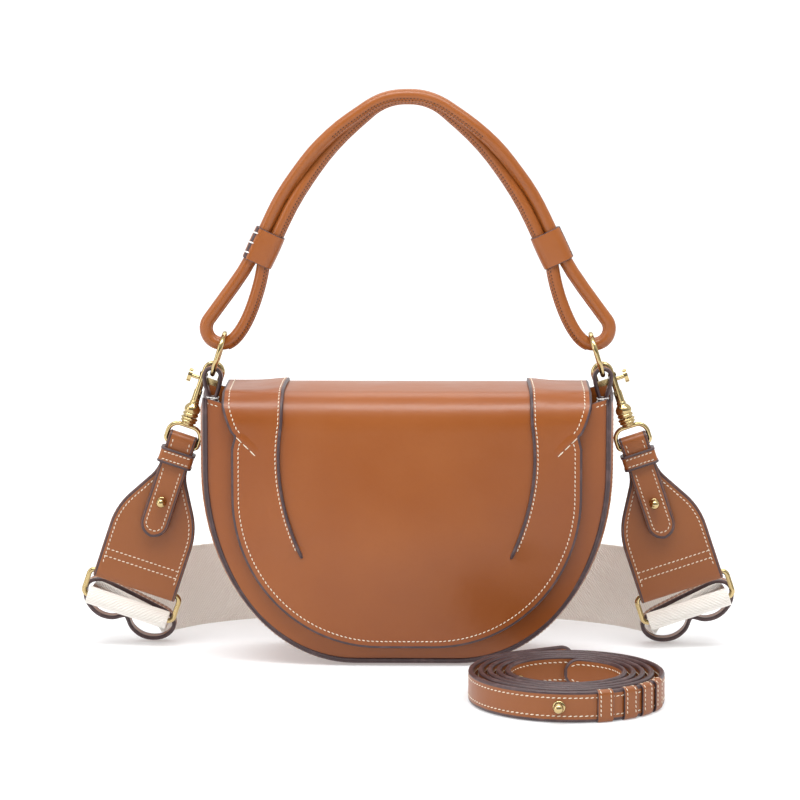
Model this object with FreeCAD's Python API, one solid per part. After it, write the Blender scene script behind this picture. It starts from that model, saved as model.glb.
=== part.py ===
import FreeCAD, Part
import math
import os

from FreeCAD import Vector

# Saddle handbag: half-moon body, front flap, doubled cord handle, clip-on
# webbing strap and a coiled narrow strap. Millimetres, +Z up, the front faces -Y.
# The origin is the middle of the flat bottom.

# Leather and shared gaps
leather = 2.2
edge_leather = 2.0
lining = 1.0
seat_gap = 0.3
sewn_gap = 0.2
floor_gap = 0.1
overrun = 30.0
quarter_share = 0.5523
upright_share = 0.9

# Body
front_width = 240.0
back_width = 246.0
body_depth = 70.0
body_height = 158.0
flat_half = 30.0
side_rise = 115.0
seam_flange = 4.0
flange_low = 6.0
gusset_drop = 10.0
ear_drop = 4.0
ear_gap = 1.5

# Flap
flap_side_gap = 14.5
flap_lower_side_gap = 20.0
flap_lower_rise = 100.0
flap_bottom = 12.5
flap_flat_half = 16.0
flap_rise = 5.0
flap_bend_radius = 13.0
flap_lining = 0.9
flap_stand_off = 0.4
flap_hinge_y = -8.0
flap_ear_length = 11.0
flap_notch_drop = 30.5
flap_notch_depth = 8.1
flap_notch_gap = 1.6
flap_back_length = 47.0
flap_back_corner = 24.0
pleat_top_half = 70.0
pleat_waist_half = 73.5
pleat_waist_height = 122.0
pleat_tip_half = 60.0
pleat_tip_height = 66.0
pleat_groove_width = 1.4
pleat_groove_depth = 0.8
dart_length = 17.0
dart_angle = 35.0

# Magnet closure
magnet_radius = 7.0
magnet_thick = 1.6
magnet_height = 52.0

# Tabs and oval rings
ring_y = 3.0
tab_width = 6.4
tab_rear_y = 5.2
tab_leg = 16.0
tab_loop_rise = 15.0
tab_loop_radius = 6.0
tab_grip_above = 2.0
ring_wire = 3.0
ring_length = 28.0
ring_width = 24.0
ring_lean = 17.0

# Handle
cord_radius = 3.7
cord_seat = 1.1
strand_gap = 0.4
sleeve_length = 20.0
sleeve_wall = 1.3
sleeve_half = 84.0
sleeve_height = 240.5
sleeve_tilt = 25.0
apex_height = 328.6
loop_radius = 9.3
arch_half_shares = (0.833, 0.554, 0.16)
arch_rise_shares = (0.34, 0.708, 1.0)
arch_spread_shares = (1.0, 1.13, 1.08)
arch_bend_shares = (0.36, 0.45, 0.45)
arch_leans = (25.0, 44.0, 80.0)
strand_turns = (0.0, 45.0, 79.0)
loop_bend_share = 0.16

# Snap hooks
strap_tilt = 18.5
hook_wire = 3.4
hook_bend_radius = 5.0
hook_tip_drop = 4.0
hook_side_gap = 0.3
hook_seat = 0.65
stem_radius = 2.5
stem_start = 2.0
stem_length = 24.0
bolt_height = 3.5
bolt_width = 2.6
bolt_gap = 0.3
bolt_travel = 5.0
knob_neck_radius = 1.2
knob_reach = 6.4
knob_thick = 2.4
knob_radius = 4.0
barrel_radius = 4.1
barrel_length = 5.5
collar_length = 5.6
collar_foot_radius = 2.6
pin_radius = 1.5
pin_length = 4.0
pin_gap = 0.3

# Swivel eye
eye_wire = 2.6
eye_inner_half = 8.5
eye_height = 12.0
eye_shoulder = 6.0
eye_corner = 2.5

# Strap ends
neck_width = 16.0
neck_loop_above = 7.0
tab_end_drop = 104.0
taper_start = 66.0
taper_end = 95.0
taper_foot_bend = 6.0
taper_shoulder_bend = 11.0
panel_width = 50.0
fold_drop = 136.0
fold_back = 24.0
fold_taper = 9.0
stud_drop = 83.0
stud_hole = 1.8
stud_post = 1.5
stud_ball = 3.0
stud_base = 4.0
stud_base_thick = 1.0
end_keeper_drop = 51.0
end_keeper_length = 9.0
end_keeper_wall = 1.8

# Rectangular strap rings
frame_wire = 3.0
frame_half = 28.0
frame_length = 16.0
frame_corner = 3.5

# Webbing
webbing_width = 50.0
webbing_thick = 1.6
webbing_bore_gap = 0.3
webbing_tail = 13.2
webbing_lower_edge = (
    (146.0, 36.0, 7.5),
    (149.0, 46.0, 2.4),
    (147.0, 56.0, 0.4),
    (138.0, 67.0, 0.4),
    (122.0, 82.0, 0.4),
    (92.0, 97.0, 0.4),
    (50.0, 108.0, 0.4),
    (0.0, 112.0, 0.4),
)
webbing_upper_way = (
    (41.0, 4.0, 28.6),
    (26.0, 8.0, 42.1),
    (9.0, 6.0, 48.8),
    (2.0, 2.0, 49.9),
    (0.0, 0.0, 50.0),
    (0.0, 0.0, 50.0),
    (0.0, 0.0, 50.0),
    (0.0, 0.0, 50.0),
)
webbing_mid_run = (-1.0, 0.0, 0.0)

# Webbing keepers
web_keeper_depth = 8.0
web_keeper_wall = 2.2
web_keeper_half = 27.6
web_keeper_flat_half = 23.0
web_keeper_room = 7.0
web_keeper_foot_half = 25.0
web_keeper_foot = 5.5
web_keeper_lobe_half = 14.0
web_keeper_lobe = 11.0
web_keeper_cusp_half = 2.0
web_keeper_cusp = 5.0
web_keeper_cusp_rise = 1.4
web_keeper_y = 27.5
web_keeper_tilt = 27.0
web_keeper_x = 167.3
web_keeper_height = 21.1

# Narrow strap
half_turn = 180.0
coil_start = 90.0
narrow_width = 15.0
narrow_thick = 3.0
coil_x = 91.0
coil_y = -121.0
coil_radius = 54.0
coil_first_step = 2.2
coil_loose_step = 3.3
coil_step = 2.5
coil_half_turns = 10
tip_angle = 120.0
tip_length = 36.0
narrow_keeper_wall = 1.2
narrow_keeper_length = 9.0
narrow_keeper_gap = 0.25
narrow_keeper_angles = (-70.0, -53.0, -39.0, -25.5)
narrow_stud_angle = -97.0
inner_stud_angle = 160.0
narrow_stud_ball = 2.8
narrow_stud_base = 3.4
narrow_stud_post = 1.3
narrow_stud_base_thick = 0.8
probe_points = 24

# Places worked out from the sizes above
front_half = front_width / 2
gusset_top = body_height - gusset_drop
ear_foot_height = body_height - ear_drop
flap_half = front_half - flap_side_gap
flap_lower_half = front_half - flap_lower_side_gap
ear_inner_half = flap_half + ear_gap
flap_top = body_height + flap_rise
flap_ear_low = flap_top - flap_ear_length
flap_notch_height = flap_top - flap_notch_drop
flap_notch_half = flap_half - flap_notch_depth
flap_back_low = flap_top - flap_back_length
tab_grip_top = gusset_top + tab_grip_above
tab_foot = tab_grip_top - tab_leg
tab_loop_height = tab_grip_top + tab_loop_rise
back_half = back_width / 2
front_y = -body_depth / 2
back_y = body_depth / 2
panel_inner_y = back_y - leather
web_half = front_half - seam_flange
web_inner_half = web_half - edge_leather
lining_half = web_inner_half - sewn_gap
flap_thick = leather + flap_lining
flap_front_y = front_y - flap_stand_off - flap_thick
flap_back_y = back_y + flap_thick
rim_height = flap_top - flap_bend_radius
wire_radius = ring_wire / 2
tab_grip_half = (edge_leather + sewn_gap + lining) / 2 + sewn_gap
tab_x = web_half + sewn_gap - tab_grip_half
ring_bend = (ring_width - ring_wire) / 2
ring_hole = ring_bend - wire_radius
tab_front_y = tab_rear_y - tab_width
tab_reach = max(ring_y - tab_front_y, tab_rear_y - ring_y)
ring_foot_rise = ring_hole - math.sqrt(ring_hole ** 2 - tab_reach ** 2)
tab_hole_top = tab_loop_height + tab_loop_radius - leather
ring_foot_height = tab_hole_top - seat_gap - wire_radius - ring_foot_rise
lean = math.radians(ring_lean)
cord_along_ring = ring_length - ring_wire - wire_radius - cord_seat - cord_radius
handle_axis_height = ring_foot_height + cord_along_ring * math.cos(lean)
handle_foot_half = tab_x - cord_along_ring * math.sin(lean)
hook_radius = hook_wire / 2
hook_y = tab_rear_y + hook_side_gap + stem_radius
hook_ring_rise = ring_bend - math.sqrt(ring_bend ** 2 - (hook_y - ring_y) ** 2)
hook_ring_level_share = 1 - hook_ring_rise / ring_bend
tilt = math.radians(strap_tilt)
eye_radius = eye_wire / 2
bore_half = eye_radius + seat_gap
frame_radius = frame_wire / 2
swivel_split = stem_length + barrel_length
collar_foot = swivel_split + seat_gap + collar_length
eye_bar_drop = collar_foot + eye_height
neck_top = eye_bar_drop - neck_loop_above
panel_back_y = bore_half + leather
frame_y = panel_back_y + seat_gap + frame_radius
frame_bar_drop = fold_drop + frame_length
strand_offset = cord_radius + strand_gap / 2
stem_top = Vector(
    tab_x - hook_ring_rise * math.sin(lean),
    hook_y,
    ring_foot_height + hook_ring_rise * math.cos(lean),
)
hook_hang = hook_bend_radius - (hook_radius + wire_radius + hook_seat) / hook_ring_level_share
stem_top += Vector(math.cos(tilt), 0, math.sin(tilt)) * hook_bend_radius
stem_top -= Vector(-math.sin(tilt), 0, math.cos(tilt)) * hook_hang
narrow_lift = narrow_keeper_wall + narrow_keeper_gap + floor_gap


def save(node, shape):
    """Write a node's solids to its own file."""
    solids = shape.Solids
    whole = solids[0] if len(solids) == 1 else Part.makeCompound(solids)
    whole.exportStep("parts/%s.step" % node)


def mirrored(shape):
    """The same shape on the other side of the middle plane."""
    return shape.mirror(Vector(0, 0, 0), Vector(1, 0, 0))


def save_pair(name, shape):
    """Write a right-hand shape and its left-hand mirror image."""
    save("right_" + name, shape)
    save("left_" + name, mirrored(shape))


def line(start, end):
    return Part.LineSegment(start, end).toShape()


def quarter(start, corner, end):
    """A quarter round between two points, drawn towards the corner."""
    first = start + (corner - start) * quarter_share
    last = end + (corner - end) * quarter_share
    curve = Part.BezierCurve()
    curve.setPoles([start, first, last, end])
    return curve.toShape()


def prism(points, along):
    """A solid from flat corner points, pushed along a vector."""
    return Part.Face(Part.makePolygon(points + points[:1])).extrude(along)


def plate(edges, depth, y):
    """A flat solid from a closed front outline, from y towards the back."""
    face = Part.Face(Part.Wire(edges))
    face.translate(Vector(0, y, 0))
    return face.extrude(Vector(0, depth, 0))


def tangent_path(points, bends):
    """Straight runs joined by tangent arcs. Each bend is the tangent length at its point."""
    edges = []
    here = points[0]
    for before, point, after, tangent in zip(points, points[1:], points[2:], bends):
        back = (before - point).normalize()
        ahead = (after - point).normalize()
        start = point + back * tangent
        end = point + ahead * tangent
        half_turn = back.getAngle(ahead) / 2
        centre_way = (back + ahead).normalize()
        radius = tangent * math.tan(half_turn)
        to_centre = tangent / math.cos(half_turn)
        middle = point + centre_way * (to_centre - radius)
        if (start - here).Length > seat_gap:
            edges.append(line(here, start))
        edges.append(Part.Arc(start, middle, end).toShape())
        here = end
    if (points[-1] - here).Length > seat_gap:
        edges.append(line(here, points[-1]))
    return edges


def rod(edges, radius):
    """A round bar along a path."""
    path = Part.Wire(edges)
    start = path.OrderedVertexes[0].Point
    first = path.OrderedEdges[0]
    way = first.tangentAt(first.FirstParameter)
    if (first.valueAt(first.FirstParameter) - start).Length > seat_gap:
        way = first.tangentAt(first.LastParameter) * -1
    profile = Part.Wire([Part.makeCircle(radius, start, way)])
    return path.makePipeShell([profile], True, False)


def disc(radius, base, along):
    """A round bar from a base point along a vector."""
    return Part.makeCylinder(radius, along.Length, base, along)


def turned(profile, base, axis):
    """A solid of revolution from corner points of its half section."""
    face = Part.Face(Part.makePolygon(profile + profile[:1]))
    return face.revolve(base, axis, 360)


# Body

def half_moon(half, bottom, rise, top):
    """The closed front outline of a panel: flat bottom, round sides, straight top."""
    left_foot = Vector(-flat_half, 0, bottom)
    right_foot = Vector(flat_half, 0, bottom)
    right_hip = Vector(half, 0, rise)
    left_hip = Vector(-half, 0, rise)
    right_top = Vector(half, 0, top)
    left_top = Vector(-half, 0, top)
    return [
        line(left_foot, right_foot),
        quarter(right_foot, Vector(half, 0, bottom), right_hip),
        line(right_hip, right_top),
        line(right_top, left_top),
        line(left_top, left_hip),
        quarter(left_hip, Vector(-half, 0, bottom), left_foot),
    ]


def mouth_cut(half):
    """What is cut from a panel's top: a dip under the flap between two raised corners."""
    right = [
        Vector(half, -overrun - body_depth, body_height),
        Vector(ear_inner_half, -overrun - body_depth, ear_foot_height),
        Vector(ear_inner_half - seat_gap, -overrun - body_depth, rim_height),
    ]
    left = [Vector(-p.x, p.y, p.z) for p in reversed(right)]
    sky = body_height + overrun
    lid = [Vector(-half, right[0].y, sky), Vector(half, right[0].y, sky)]
    return prism(right + left + lid, Vector(0, 2 * (overrun + body_depth), 0))


def body_panel(half, y):
    moon = plate(half_moon(half, 0, side_rise, body_height), leather, y)
    return moon.cut(mouth_cut(half))


def magnet_disc(face_y, thick):
    """A magnet whose front face lies at a given y."""
    return disc(magnet_radius, Vector(0, face_y, magnet_height), Vector(0, thick, 0))


def gusset():
    """The strip between the panels, with a seam flange turned out at both edges."""
    depth = 2 * panel_inner_y
    web = plate(half_moon(web_half, 0, side_rise, gusset_top), depth, -panel_inner_y)
    flanges = []
    for half, y in ((front_half, -panel_inner_y), (back_half, panel_inner_y - edge_leather)):
        moon = plate(half_moon(half, 0, side_rise, body_height), edge_leather, y)
        foot = Part.makeBox(2 * half, body_depth, flange_low, Vector(-half, -body_depth / 2, 0))
        flanges.append(moon.cut([mouth_cut(half), foot]))
    inside = half_moon(web_inner_half, edge_leather, side_rise, body_height + overrun)
    whole = web.fuse(flanges)
    return whole.cut(plate(inside, depth + overrun, -panel_inner_y - overrun / 2))


def panel_lining(y):
    bottom = edge_leather + sewn_gap
    moon = half_moon(lining_half, bottom, side_rise, rim_height - lining)
    return plate(moon, lining, y)


def gusset_lining():
    depth = 2 * (panel_inner_y - lining)
    bottom = edge_leather + sewn_gap
    top = gusset_top - lining
    outer = plate(half_moon(lining_half, bottom, side_rise, top), depth, -depth / 2)
    inner = half_moon(lining_half - lining, bottom + lining, side_rise, top + overrun)
    return outer.cut(plate(inner, depth + overrun, -(depth + overrun) / 2))


def build_body():
    front_magnet_y = -panel_inner_y - magnet_thick / 2
    front_magnet = magnet_disc(front_magnet_y, magnet_thick)
    pocket = disc(
        magnet_radius + sewn_gap,
        Vector(0, front_magnet_y - sewn_gap, magnet_height),
        Vector(0, magnet_thick + sewn_gap + lining, 0),
    )
    save("front_panel", body_panel(front_half, front_y).cut(pocket))
    save("back_panel", body_panel(back_half, panel_inner_y))
    save("gusset", gusset())
    save("front_lining", panel_lining(-panel_inner_y).cut(pocket))
    save("back_lining", panel_lining(panel_inner_y - lining))
    save("gusset_lining", gusset_lining())
    save("front_magnet", front_magnet)


# Tabs and oval rings

def tab():
    """The right-hand leather loop that grips the gusset's top and carries a ring."""
    grip = tab_grip_half
    foot_half = grip + leather
    hole = tab_loop_radius - leather

    def at(x, z):
        return Vector(tab_x + x, tab_front_y, z)

    edges = [
        line(at(foot_half, tab_foot), at(foot_half, tab_grip_top)),
        line(at(foot_half, tab_grip_top), at(tab_loop_radius, tab_loop_height)),
        Part.Arc(
            at(tab_loop_radius, tab_loop_height),
            at(0, tab_loop_height + tab_loop_radius),
            at(-tab_loop_radius, tab_loop_height),
        ).toShape(),
        line(at(-tab_loop_radius, tab_loop_height), at(-foot_half, tab_grip_top)),
        line(at(-foot_half, tab_grip_top), at(-foot_half, tab_foot)),
        line(at(-foot_half, tab_foot), at(-grip, tab_foot)),
        line(at(-grip, tab_foot), at(-grip, tab_grip_top)),
        line(at(-grip, tab_grip_top), at(-hole, tab_loop_height)),
        Part.Arc(
            at(-hole, tab_loop_height),
            at(0, tab_loop_height + hole),
            at(hole, tab_loop_height),
        ).toShape(),
        line(at(hole, tab_loop_height), at(grip, tab_grip_top)),
        line(at(grip, tab_grip_top), at(grip, tab_foot)),
        line(at(grip, tab_foot), at(foot_half, tab_foot)),
    ]
    return Part.Face(Part.Wire(edges)).extrude(Vector(0, tab_width, 0))


def oval_ring():
    """The right-hand wire ring, standing in its tab and leaning inwards."""
    low = Vector(tab_x, ring_y, ring_foot_height + ring_bend)
    straight = Vector(0, 0, ring_length - ring_width)
    across = Vector(0, ring_bend, 0)
    round_face = Part.Face(Part.Wire([Part.makeCircle(wire_radius, low + across, Vector(0, 0, 1))]))
    foot = round_face.revolve(low, Vector(-1, 0, 0), 180)
    sides = [disc(wire_radius, low + across, straight), disc(wire_radius, low - across, straight)]
    head = round_face.revolve(low, Vector(1, 0, 0), 180)
    head.translate(straight)
    ring = foot.fuse(sides + [head])
    ring.rotate(Vector(tab_x, ring_y, ring_foot_height), Vector(0, 1, 0), -ring_lean)
    return ring


# Flap

def flap_outline(half_shift):
    """The flap's front outline, with round lower sides and a dart notch at each corner."""
    ear = flap_half - half_shift
    lower = flap_lower_half - half_shift
    notch = flap_notch_half - half_shift
    sky = flap_top + overrun
    right = [
        Vector(flap_flat_half, 0, flap_bottom),
        Vector(lower, 0, flap_lower_rise),
        Vector(lower, 0, flap_notch_height - flap_notch_gap),
        Vector(notch - flap_notch_gap, 0, flap_notch_height),
        Vector(notch, 0, flap_notch_height + flap_notch_gap),
        Vector(ear, 0, flap_ear_low),
        Vector(ear, 0, sky),
    ]
    left = [Vector(-p.x, 0, p.z) for p in right]
    edges = [line(left[0], right[0])]
    edges.append(quarter(right[0], Vector(right[1].x, 0, right[0].z), right[1]))
    edges += [line(a, b) for a, b in zip(right[1:4], right[2:5])]
    edges.append(quarter(right[4], Vector(right[5].x, 0, right[4].z), right[5]))
    edges += [line(right[5], right[6]), line(right[6], left[6]), line(left[6], left[5])]
    edges.append(quarter(left[5], Vector(left[5].x, 0, left[4].z), left[4]))
    edges += [line(a, b) for a, b in zip(left[4:1:-1], left[3:0:-1])]
    edges.append(quarter(left[1], Vector(left[1].x, 0, left[0].z), left[0]))
    return edges


def flap_band(hinge_y, face_y, low, outer, inner):
    """A bent layer of the flap, between two depths below its outer surface, at full width."""
    way = 1 if face_y > hinge_y else -1
    centre_y = face_y - way * flap_bend_radius
    slant = math.sqrt(2) / 2
    half = flap_half + overrun

    def layer(depth):
        radius = flap_bend_radius - depth
        return (
            Vector(-half, hinge_y, flap_top - depth),
            Vector(-half, centre_y, flap_top - depth),
            Vector(-half, centre_y + way * radius * slant, rim_height + radius * slant),
            Vector(-half, face_y - way * depth, rim_height),
            Vector(-half, face_y - way * depth, low),
        )

    a = layer(outer)
    b = layer(inner)
    edges = [
        line(a[0], a[1]),
        Part.Arc(a[1], a[2], a[3]).toShape(),
        line(a[3], a[4]),
        line(a[4], b[4]),
        line(b[4], b[3]),
        Part.Arc(b[3], b[2], b[1]).toShape(),
        line(b[1], b[0]),
        line(b[0], a[0]),
    ]
    return Part.Face(Part.Wire(edges)).extrude(Vector(2 * half, 0, 0))


def front_view_prism(edges):
    """A front outline pushed through the whole depth."""
    return plate(edges, 2 * (body_depth + overrun), -body_depth - overrun)


def pleat_grooves(band):
    """The two long pleats, where the sides of the flap lap over its middle."""
    grooves = []
    for side in (1, -1):
        def at(half, z):
            return Vector(side * half, 0, z)

        def way(shift):
            top = at(pleat_top_half + shift, flap_top + overrun)
            shoulder = at(pleat_top_half + shift, flap_top)
            waist = at(pleat_waist_half + shift, pleat_waist_height)
            tip = at(pleat_tip_half + shift, pleat_tip_height)
            return top, shoulder, waist, tip

        a = way(0)
        b = way(pleat_groove_width)
        edges = [
            line(a[0], a[1]),
            Part.Arc(a[1], a[2], a[3]).toShape(),
            line(a[3], b[3]),
            Part.Arc(b[3], b[2], b[1]).toShape(),
            line(b[1], b[0]),
            line(b[0], a[0]),
        ]
        grooves.append(front_view_prism(edges).common(band))
    return grooves


def corner_darts(band):
    """The short stitched darts that run in from the notches."""
    angle = math.radians(dart_angle)
    darts = []
    for side in (1, -1):
        start = Vector(side * flap_notch_half, 0, flap_notch_height)
        run = Vector(-side * math.sin(angle), 0, -math.cos(angle)) * dart_length
        across = Vector(math.cos(angle), 0, -side * math.sin(angle)) * pleat_groove_width
        corners = [start, start + run, start + across]
        edges = [line(a, b) for a, b in zip(corners, corners[1:] + corners[:1])]
        darts.append(front_view_prism(edges).common(band))
    return darts


def build_flap():
    outline = front_view_prism(flap_outline(0))
    lining_outline = front_view_prism(flap_outline(seam_flange))
    skin = flap_band(flap_hinge_y, flap_front_y, 0, 0, leather)
    under = flap_band(flap_hinge_y, flap_front_y, 0, leather, flap_thick)
    groove_band = flap_band(flap_hinge_y, flap_front_y, 0, 0, pleat_groove_depth)
    magnet_y = flap_front_y + flap_thick - magnet_thick
    magnet = magnet_disc(magnet_y, magnet_thick)
    pocket = disc(
        magnet_radius + sewn_gap,
        Vector(0, magnet_y - sewn_gap, magnet_height),
        Vector(0, magnet_thick + sewn_gap + overrun, 0),
    )
    marks = pleat_grooves(groove_band) + corner_darts(groove_band)
    save("flap_leather", skin.common(outline).cut(marks).cut(pocket))
    save("flap_lining", under.common(lining_outline).cut(pocket))
    save("flap_magnet", magnet)

    rear_y = flap_hinge_y + seat_gap
    rear = flap_band(rear_y, flap_back_y, flap_back_low, 0, leather)
    rear_under = flap_band(rear_y, flap_back_y, flap_back_low, leather, flap_thick)
    top = flap_top + overrun
    corner = flap_back_low + flap_back_corner
    inner = flap_half - flap_back_corner
    rear_edges = [
        line(Vector(-inner, 0, flap_back_low), Vector(inner, 0, flap_back_low)),
        quarter(
            Vector(inner, 0, flap_back_low),
            Vector(flap_half, 0, flap_back_low),
            Vector(flap_half, 0, corner),
        ),
        line(Vector(flap_half, 0, corner), Vector(flap_half, 0, top)),
        line(Vector(flap_half, 0, top), Vector(-flap_half, 0, top)),
        line(Vector(-flap_half, 0, top), Vector(-flap_half, 0, corner)),
        quarter(
            Vector(-flap_half, 0, corner),
            Vector(-flap_half, 0, flap_back_low),
            Vector(-inner, 0, flap_back_low),
        ),
    ]
    rear_outline = front_view_prism(rear_edges)
    save("flap_back", rear.common(rear_outline))
    save("flap_back_lining", rear_under.common(rear_outline))


# Handle

def arch_points(side):
    """Right-hand corner points of one strand, from below the sleeve to the top of the arch."""
    sleeve_lean = math.radians(sleeve_tilt)
    up = Vector(-math.sin(sleeve_lean), 0, math.cos(sleeve_lean))
    out = Vector(math.cos(sleeve_lean), 0, math.sin(sleeve_lean))
    middle = Vector(sleeve_half, ring_y, sleeve_height)
    points = [middle - up * sleeve_length + out * side * strand_offset]
    places = zip(arch_half_shares, arch_rise_shares, arch_spread_shares, arch_leans, strand_turns)
    for half_share, rise_share, spread_share, place_lean, turn in places:
        steep = math.radians(place_lean)
        angle = math.radians(turn)
        place = Vector(
            sleeve_half * half_share,
            ring_y,
            sleeve_height + (apex_height - sleeve_height) * rise_share,
        )
        reach = side * strand_offset * spread_share
        normal = Vector(math.cos(steep), 0, math.sin(steep)) * (reach * math.cos(angle))
        points.append(place + normal - Vector(0, reach * math.sin(angle), 0))
    return points


def loop_touch(point, side):
    """Where a strand meets the round loop about the ring."""
    centre = Vector(handle_foot_half, ring_y, handle_axis_height + loop_radius)
    way = point - centre
    spread = math.acos(loop_radius / way.Length)
    start = math.atan2(way.z, way.x)
    angle = start - side * spread
    return centre + Vector(math.cos(angle), 0, math.sin(angle)) * loop_radius


def flipped(points):
    """Left-hand points of right-hand ones."""
    return [Vector(-p.x, p.y, p.z) for p in points]


def bends_of(points, shares):
    """Tangent lengths at the inner points, as shares of the shorter run beside each."""
    runs = [(b - a).Length for a, b in zip(points, points[1:])]
    return [share * min(pair) for share, pair in zip(shares, zip(runs, runs[1:]))]


def handle_cord():
    """One cord from inside the left sleeve, round both rings and back into that sleeve."""
    outer = arch_points(1)
    inner = arch_points(-1)
    outer_touch = loop_touch(outer[0], 1)
    inner_touch = loop_touch(inner[0], -1)
    foot = Vector(handle_foot_half, ring_y, handle_axis_height)
    seam = (flipped(outer)[0] + flipped(outer)[1]) * (1 / 2)
    seam_end = seam + (flipped(outer)[1] - seam).normalize() * seat_gap
    shares = (loop_bend_share,) + arch_bend_shares
    start = [seam, flipped(outer)[0], flipped([outer_touch])[0]]
    inner_way = flipped([inner_touch] + inner) + list(reversed([inner_touch] + inner))
    outer_way = [outer_touch] + outer + flipped(list(reversed(outer[1:]))) + [seam_end]
    edges = tangent_path(start, bends_of(start, shares[:1]))
    edges.append(loop_arc(flipped([outer_touch, foot, inner_touch])))
    edges += tangent_path(inner_way, bends_of(inner_way, shares + tuple(reversed(shares))))
    edges.append(loop_arc([inner_touch, foot, outer_touch]))
    edges += tangent_path(outer_way, bends_of(outer_way, shares + tuple(reversed(arch_bend_shares))))
    return rod(edges, cord_radius)


def loop_arc(points):
    return Part.Arc(*points).toShape()


def obround(half, radius, length):
    """An upright bar with a long round-ended section, centred on the origin."""
    base = Vector(0, 0, -length / 2)
    along = Vector(0, 0, length)
    across = Vector(half, 0, 0)
    core = Part.makeBox(2 * half, 2 * radius, length, base - across - Vector(0, radius, 0))
    return core.fuse([disc(radius, base + across, along), disc(radius, base - across, along)])


def sleeve():
    """The right-hand leather wrap that holds the two strands side by side."""
    bore = cord_radius + sewn_gap
    wrap = obround(strand_offset, bore + sleeve_wall, sleeve_length)
    wrap = wrap.cut(obround(strand_offset, bore, sleeve_length + overrun))
    wrap.rotate(Vector(0, 0, 0), Vector(0, 1, 0), -sleeve_tilt)
    wrap.translate(Vector(sleeve_half, ring_y, sleeve_height))
    return wrap


# Snap hooks, modelled hanging straight down from the stem's top

def on_strap(shape):
    """Tilt a shape made about the stem's top and hang it on the right-hand ring."""
    shape.rotate(Vector(0, 0, 0), Vector(0, 1, 0), -strap_tilt)
    shape.translate(stem_top)
    return shape


def strap_point(x, y, z):
    """The place on the right-hand strap of a point given about the stem's top."""
    across = Vector(math.cos(tilt), 0, math.sin(tilt)) * x
    up = Vector(-math.sin(tilt), 0, math.cos(tilt)) * z
    return stem_top + across + up + Vector(0, y, 0)


def snap_hook():
    """A forged hook: bent nose, slotted stem and the upper half of its swivel."""
    stem_start_point = Vector(0, 0, -(stem_start + hook_tip_drop) / 2)
    top = Vector(0, 0, 0)
    crown = Vector(-hook_bend_radius, 0, hook_bend_radius)
    turn_end = Vector(-2 * hook_bend_radius, 0, 0)
    tip = Vector(-2 * hook_bend_radius, 0, -hook_tip_drop)
    edges = [line(stem_start_point, top), Part.Arc(top, crown, turn_end).toShape(), line(turn_end, tip)]
    nose = rod(edges, hook_radius)
    profile = [
        Vector(0, 0, -stem_start),
        Vector(stem_radius, 0, -stem_start),
        Vector(stem_radius, 0, -stem_length),
        Vector(barrel_radius, 0, -stem_length - barrel_radius + stem_radius),
        Vector(barrel_radius, 0, -swivel_split),
        Vector(0, 0, -swivel_split),
    ]
    stem = turned(profile, Vector(0, 0, 0), Vector(0, 0, 1))
    slot_half = bolt_width / 2 + bolt_gap
    slot_length = bolt_height + bolt_travel + 2 * bolt_gap
    slot = Part.makeBox(
        2 * overrun,
        2 * slot_half,
        slot_length,
        Vector(-overrun, -slot_half, -hook_tip_drop - slot_length),
    )
    bore = disc(pin_radius + pin_gap, Vector(0, 0, -swivel_split), Vector(0, 0, pin_length + pin_gap))
    return nose.fuse(stem.cut(slot).cut(bore))


def hook_bolt():
    """The sliding bolt that shuts the hook, with its thumb knob on the outer side."""
    top = -hook_tip_drop - bolt_gap
    reach = 2 * hook_bend_radius + hook_radius
    nose_foot = Vector(-reach, -bolt_width / 2, top - bolt_height)
    nose = Part.makeBox(reach, bolt_width, bolt_height, nose_foot)
    middle = Vector(-stem_radius, 0, top - bolt_height / 2)
    neck = disc(knob_neck_radius, middle, Vector(stem_radius + knob_reach, 0, 0))
    knob = disc(knob_radius, Vector(knob_reach, 0, middle.z), Vector(knob_thick, 0, 0))
    return nose.fuse([neck, knob])


def swivel_eye():
    """The turning half of the swivel: pin, collar and the eye that the leather passes through."""
    collar_top = swivel_split + seat_gap
    profile = [
        Vector(0, 0, -collar_top),
        Vector(barrel_radius, 0, -collar_top),
        Vector(barrel_radius, 0, -collar_top - collar_length / 2),
        Vector(collar_foot_radius, 0, -collar_foot),
        Vector(0, 0, -collar_foot),
    ]
    collar = turned(profile, Vector(0, 0, 0), Vector(0, 0, 1))
    pin = disc(pin_radius, Vector(0, 0, -collar_top), Vector(0, 0, pin_length))
    eye_half = eye_inner_half + eye_radius
    eye = wire_frame(eye_half, -collar_foot, -eye_bar_drop, eye_shoulder, eye_corner, eye_radius)
    return collar.fuse([pin, eye])


def wire_frame(half, top, low, top_bend, low_bend, radius):
    """A closed wire frame with rounded corners, upright in the middle plane of the strap."""
    corners = [Vector(0, 0, top), Vector(half, 0, top), Vector(half, 0, low), Vector(0, 0, low)]
    right = rod(tangent_path(corners, (top_bend, low_bend)), radius)
    return right.fuse(mirrored(right))


# Strap ends

def taper_panel():
    """The strap end's main layer, from its narrow neck to its full width."""
    neck = neck_width / 2
    wide = panel_width / 2
    top = -neck_top - panel_back_y
    right = [
        Vector(neck, 0, top),
        Vector(neck, 0, -taper_start),
        Vector(wide, 0, -taper_end),
        Vector(wide, 0, -fold_drop),
    ]
    side = tangent_path(right, (taper_foot_bend, taper_shoulder_bend))
    ends = [line(right[0], flipped(right)[0]), line(right[-1], flipped(right)[-1])]
    edges = side + [mirrored(edge) for edge in side] + ends
    return plate(Part.__sortEdges__(edges), leather, bore_half)


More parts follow.
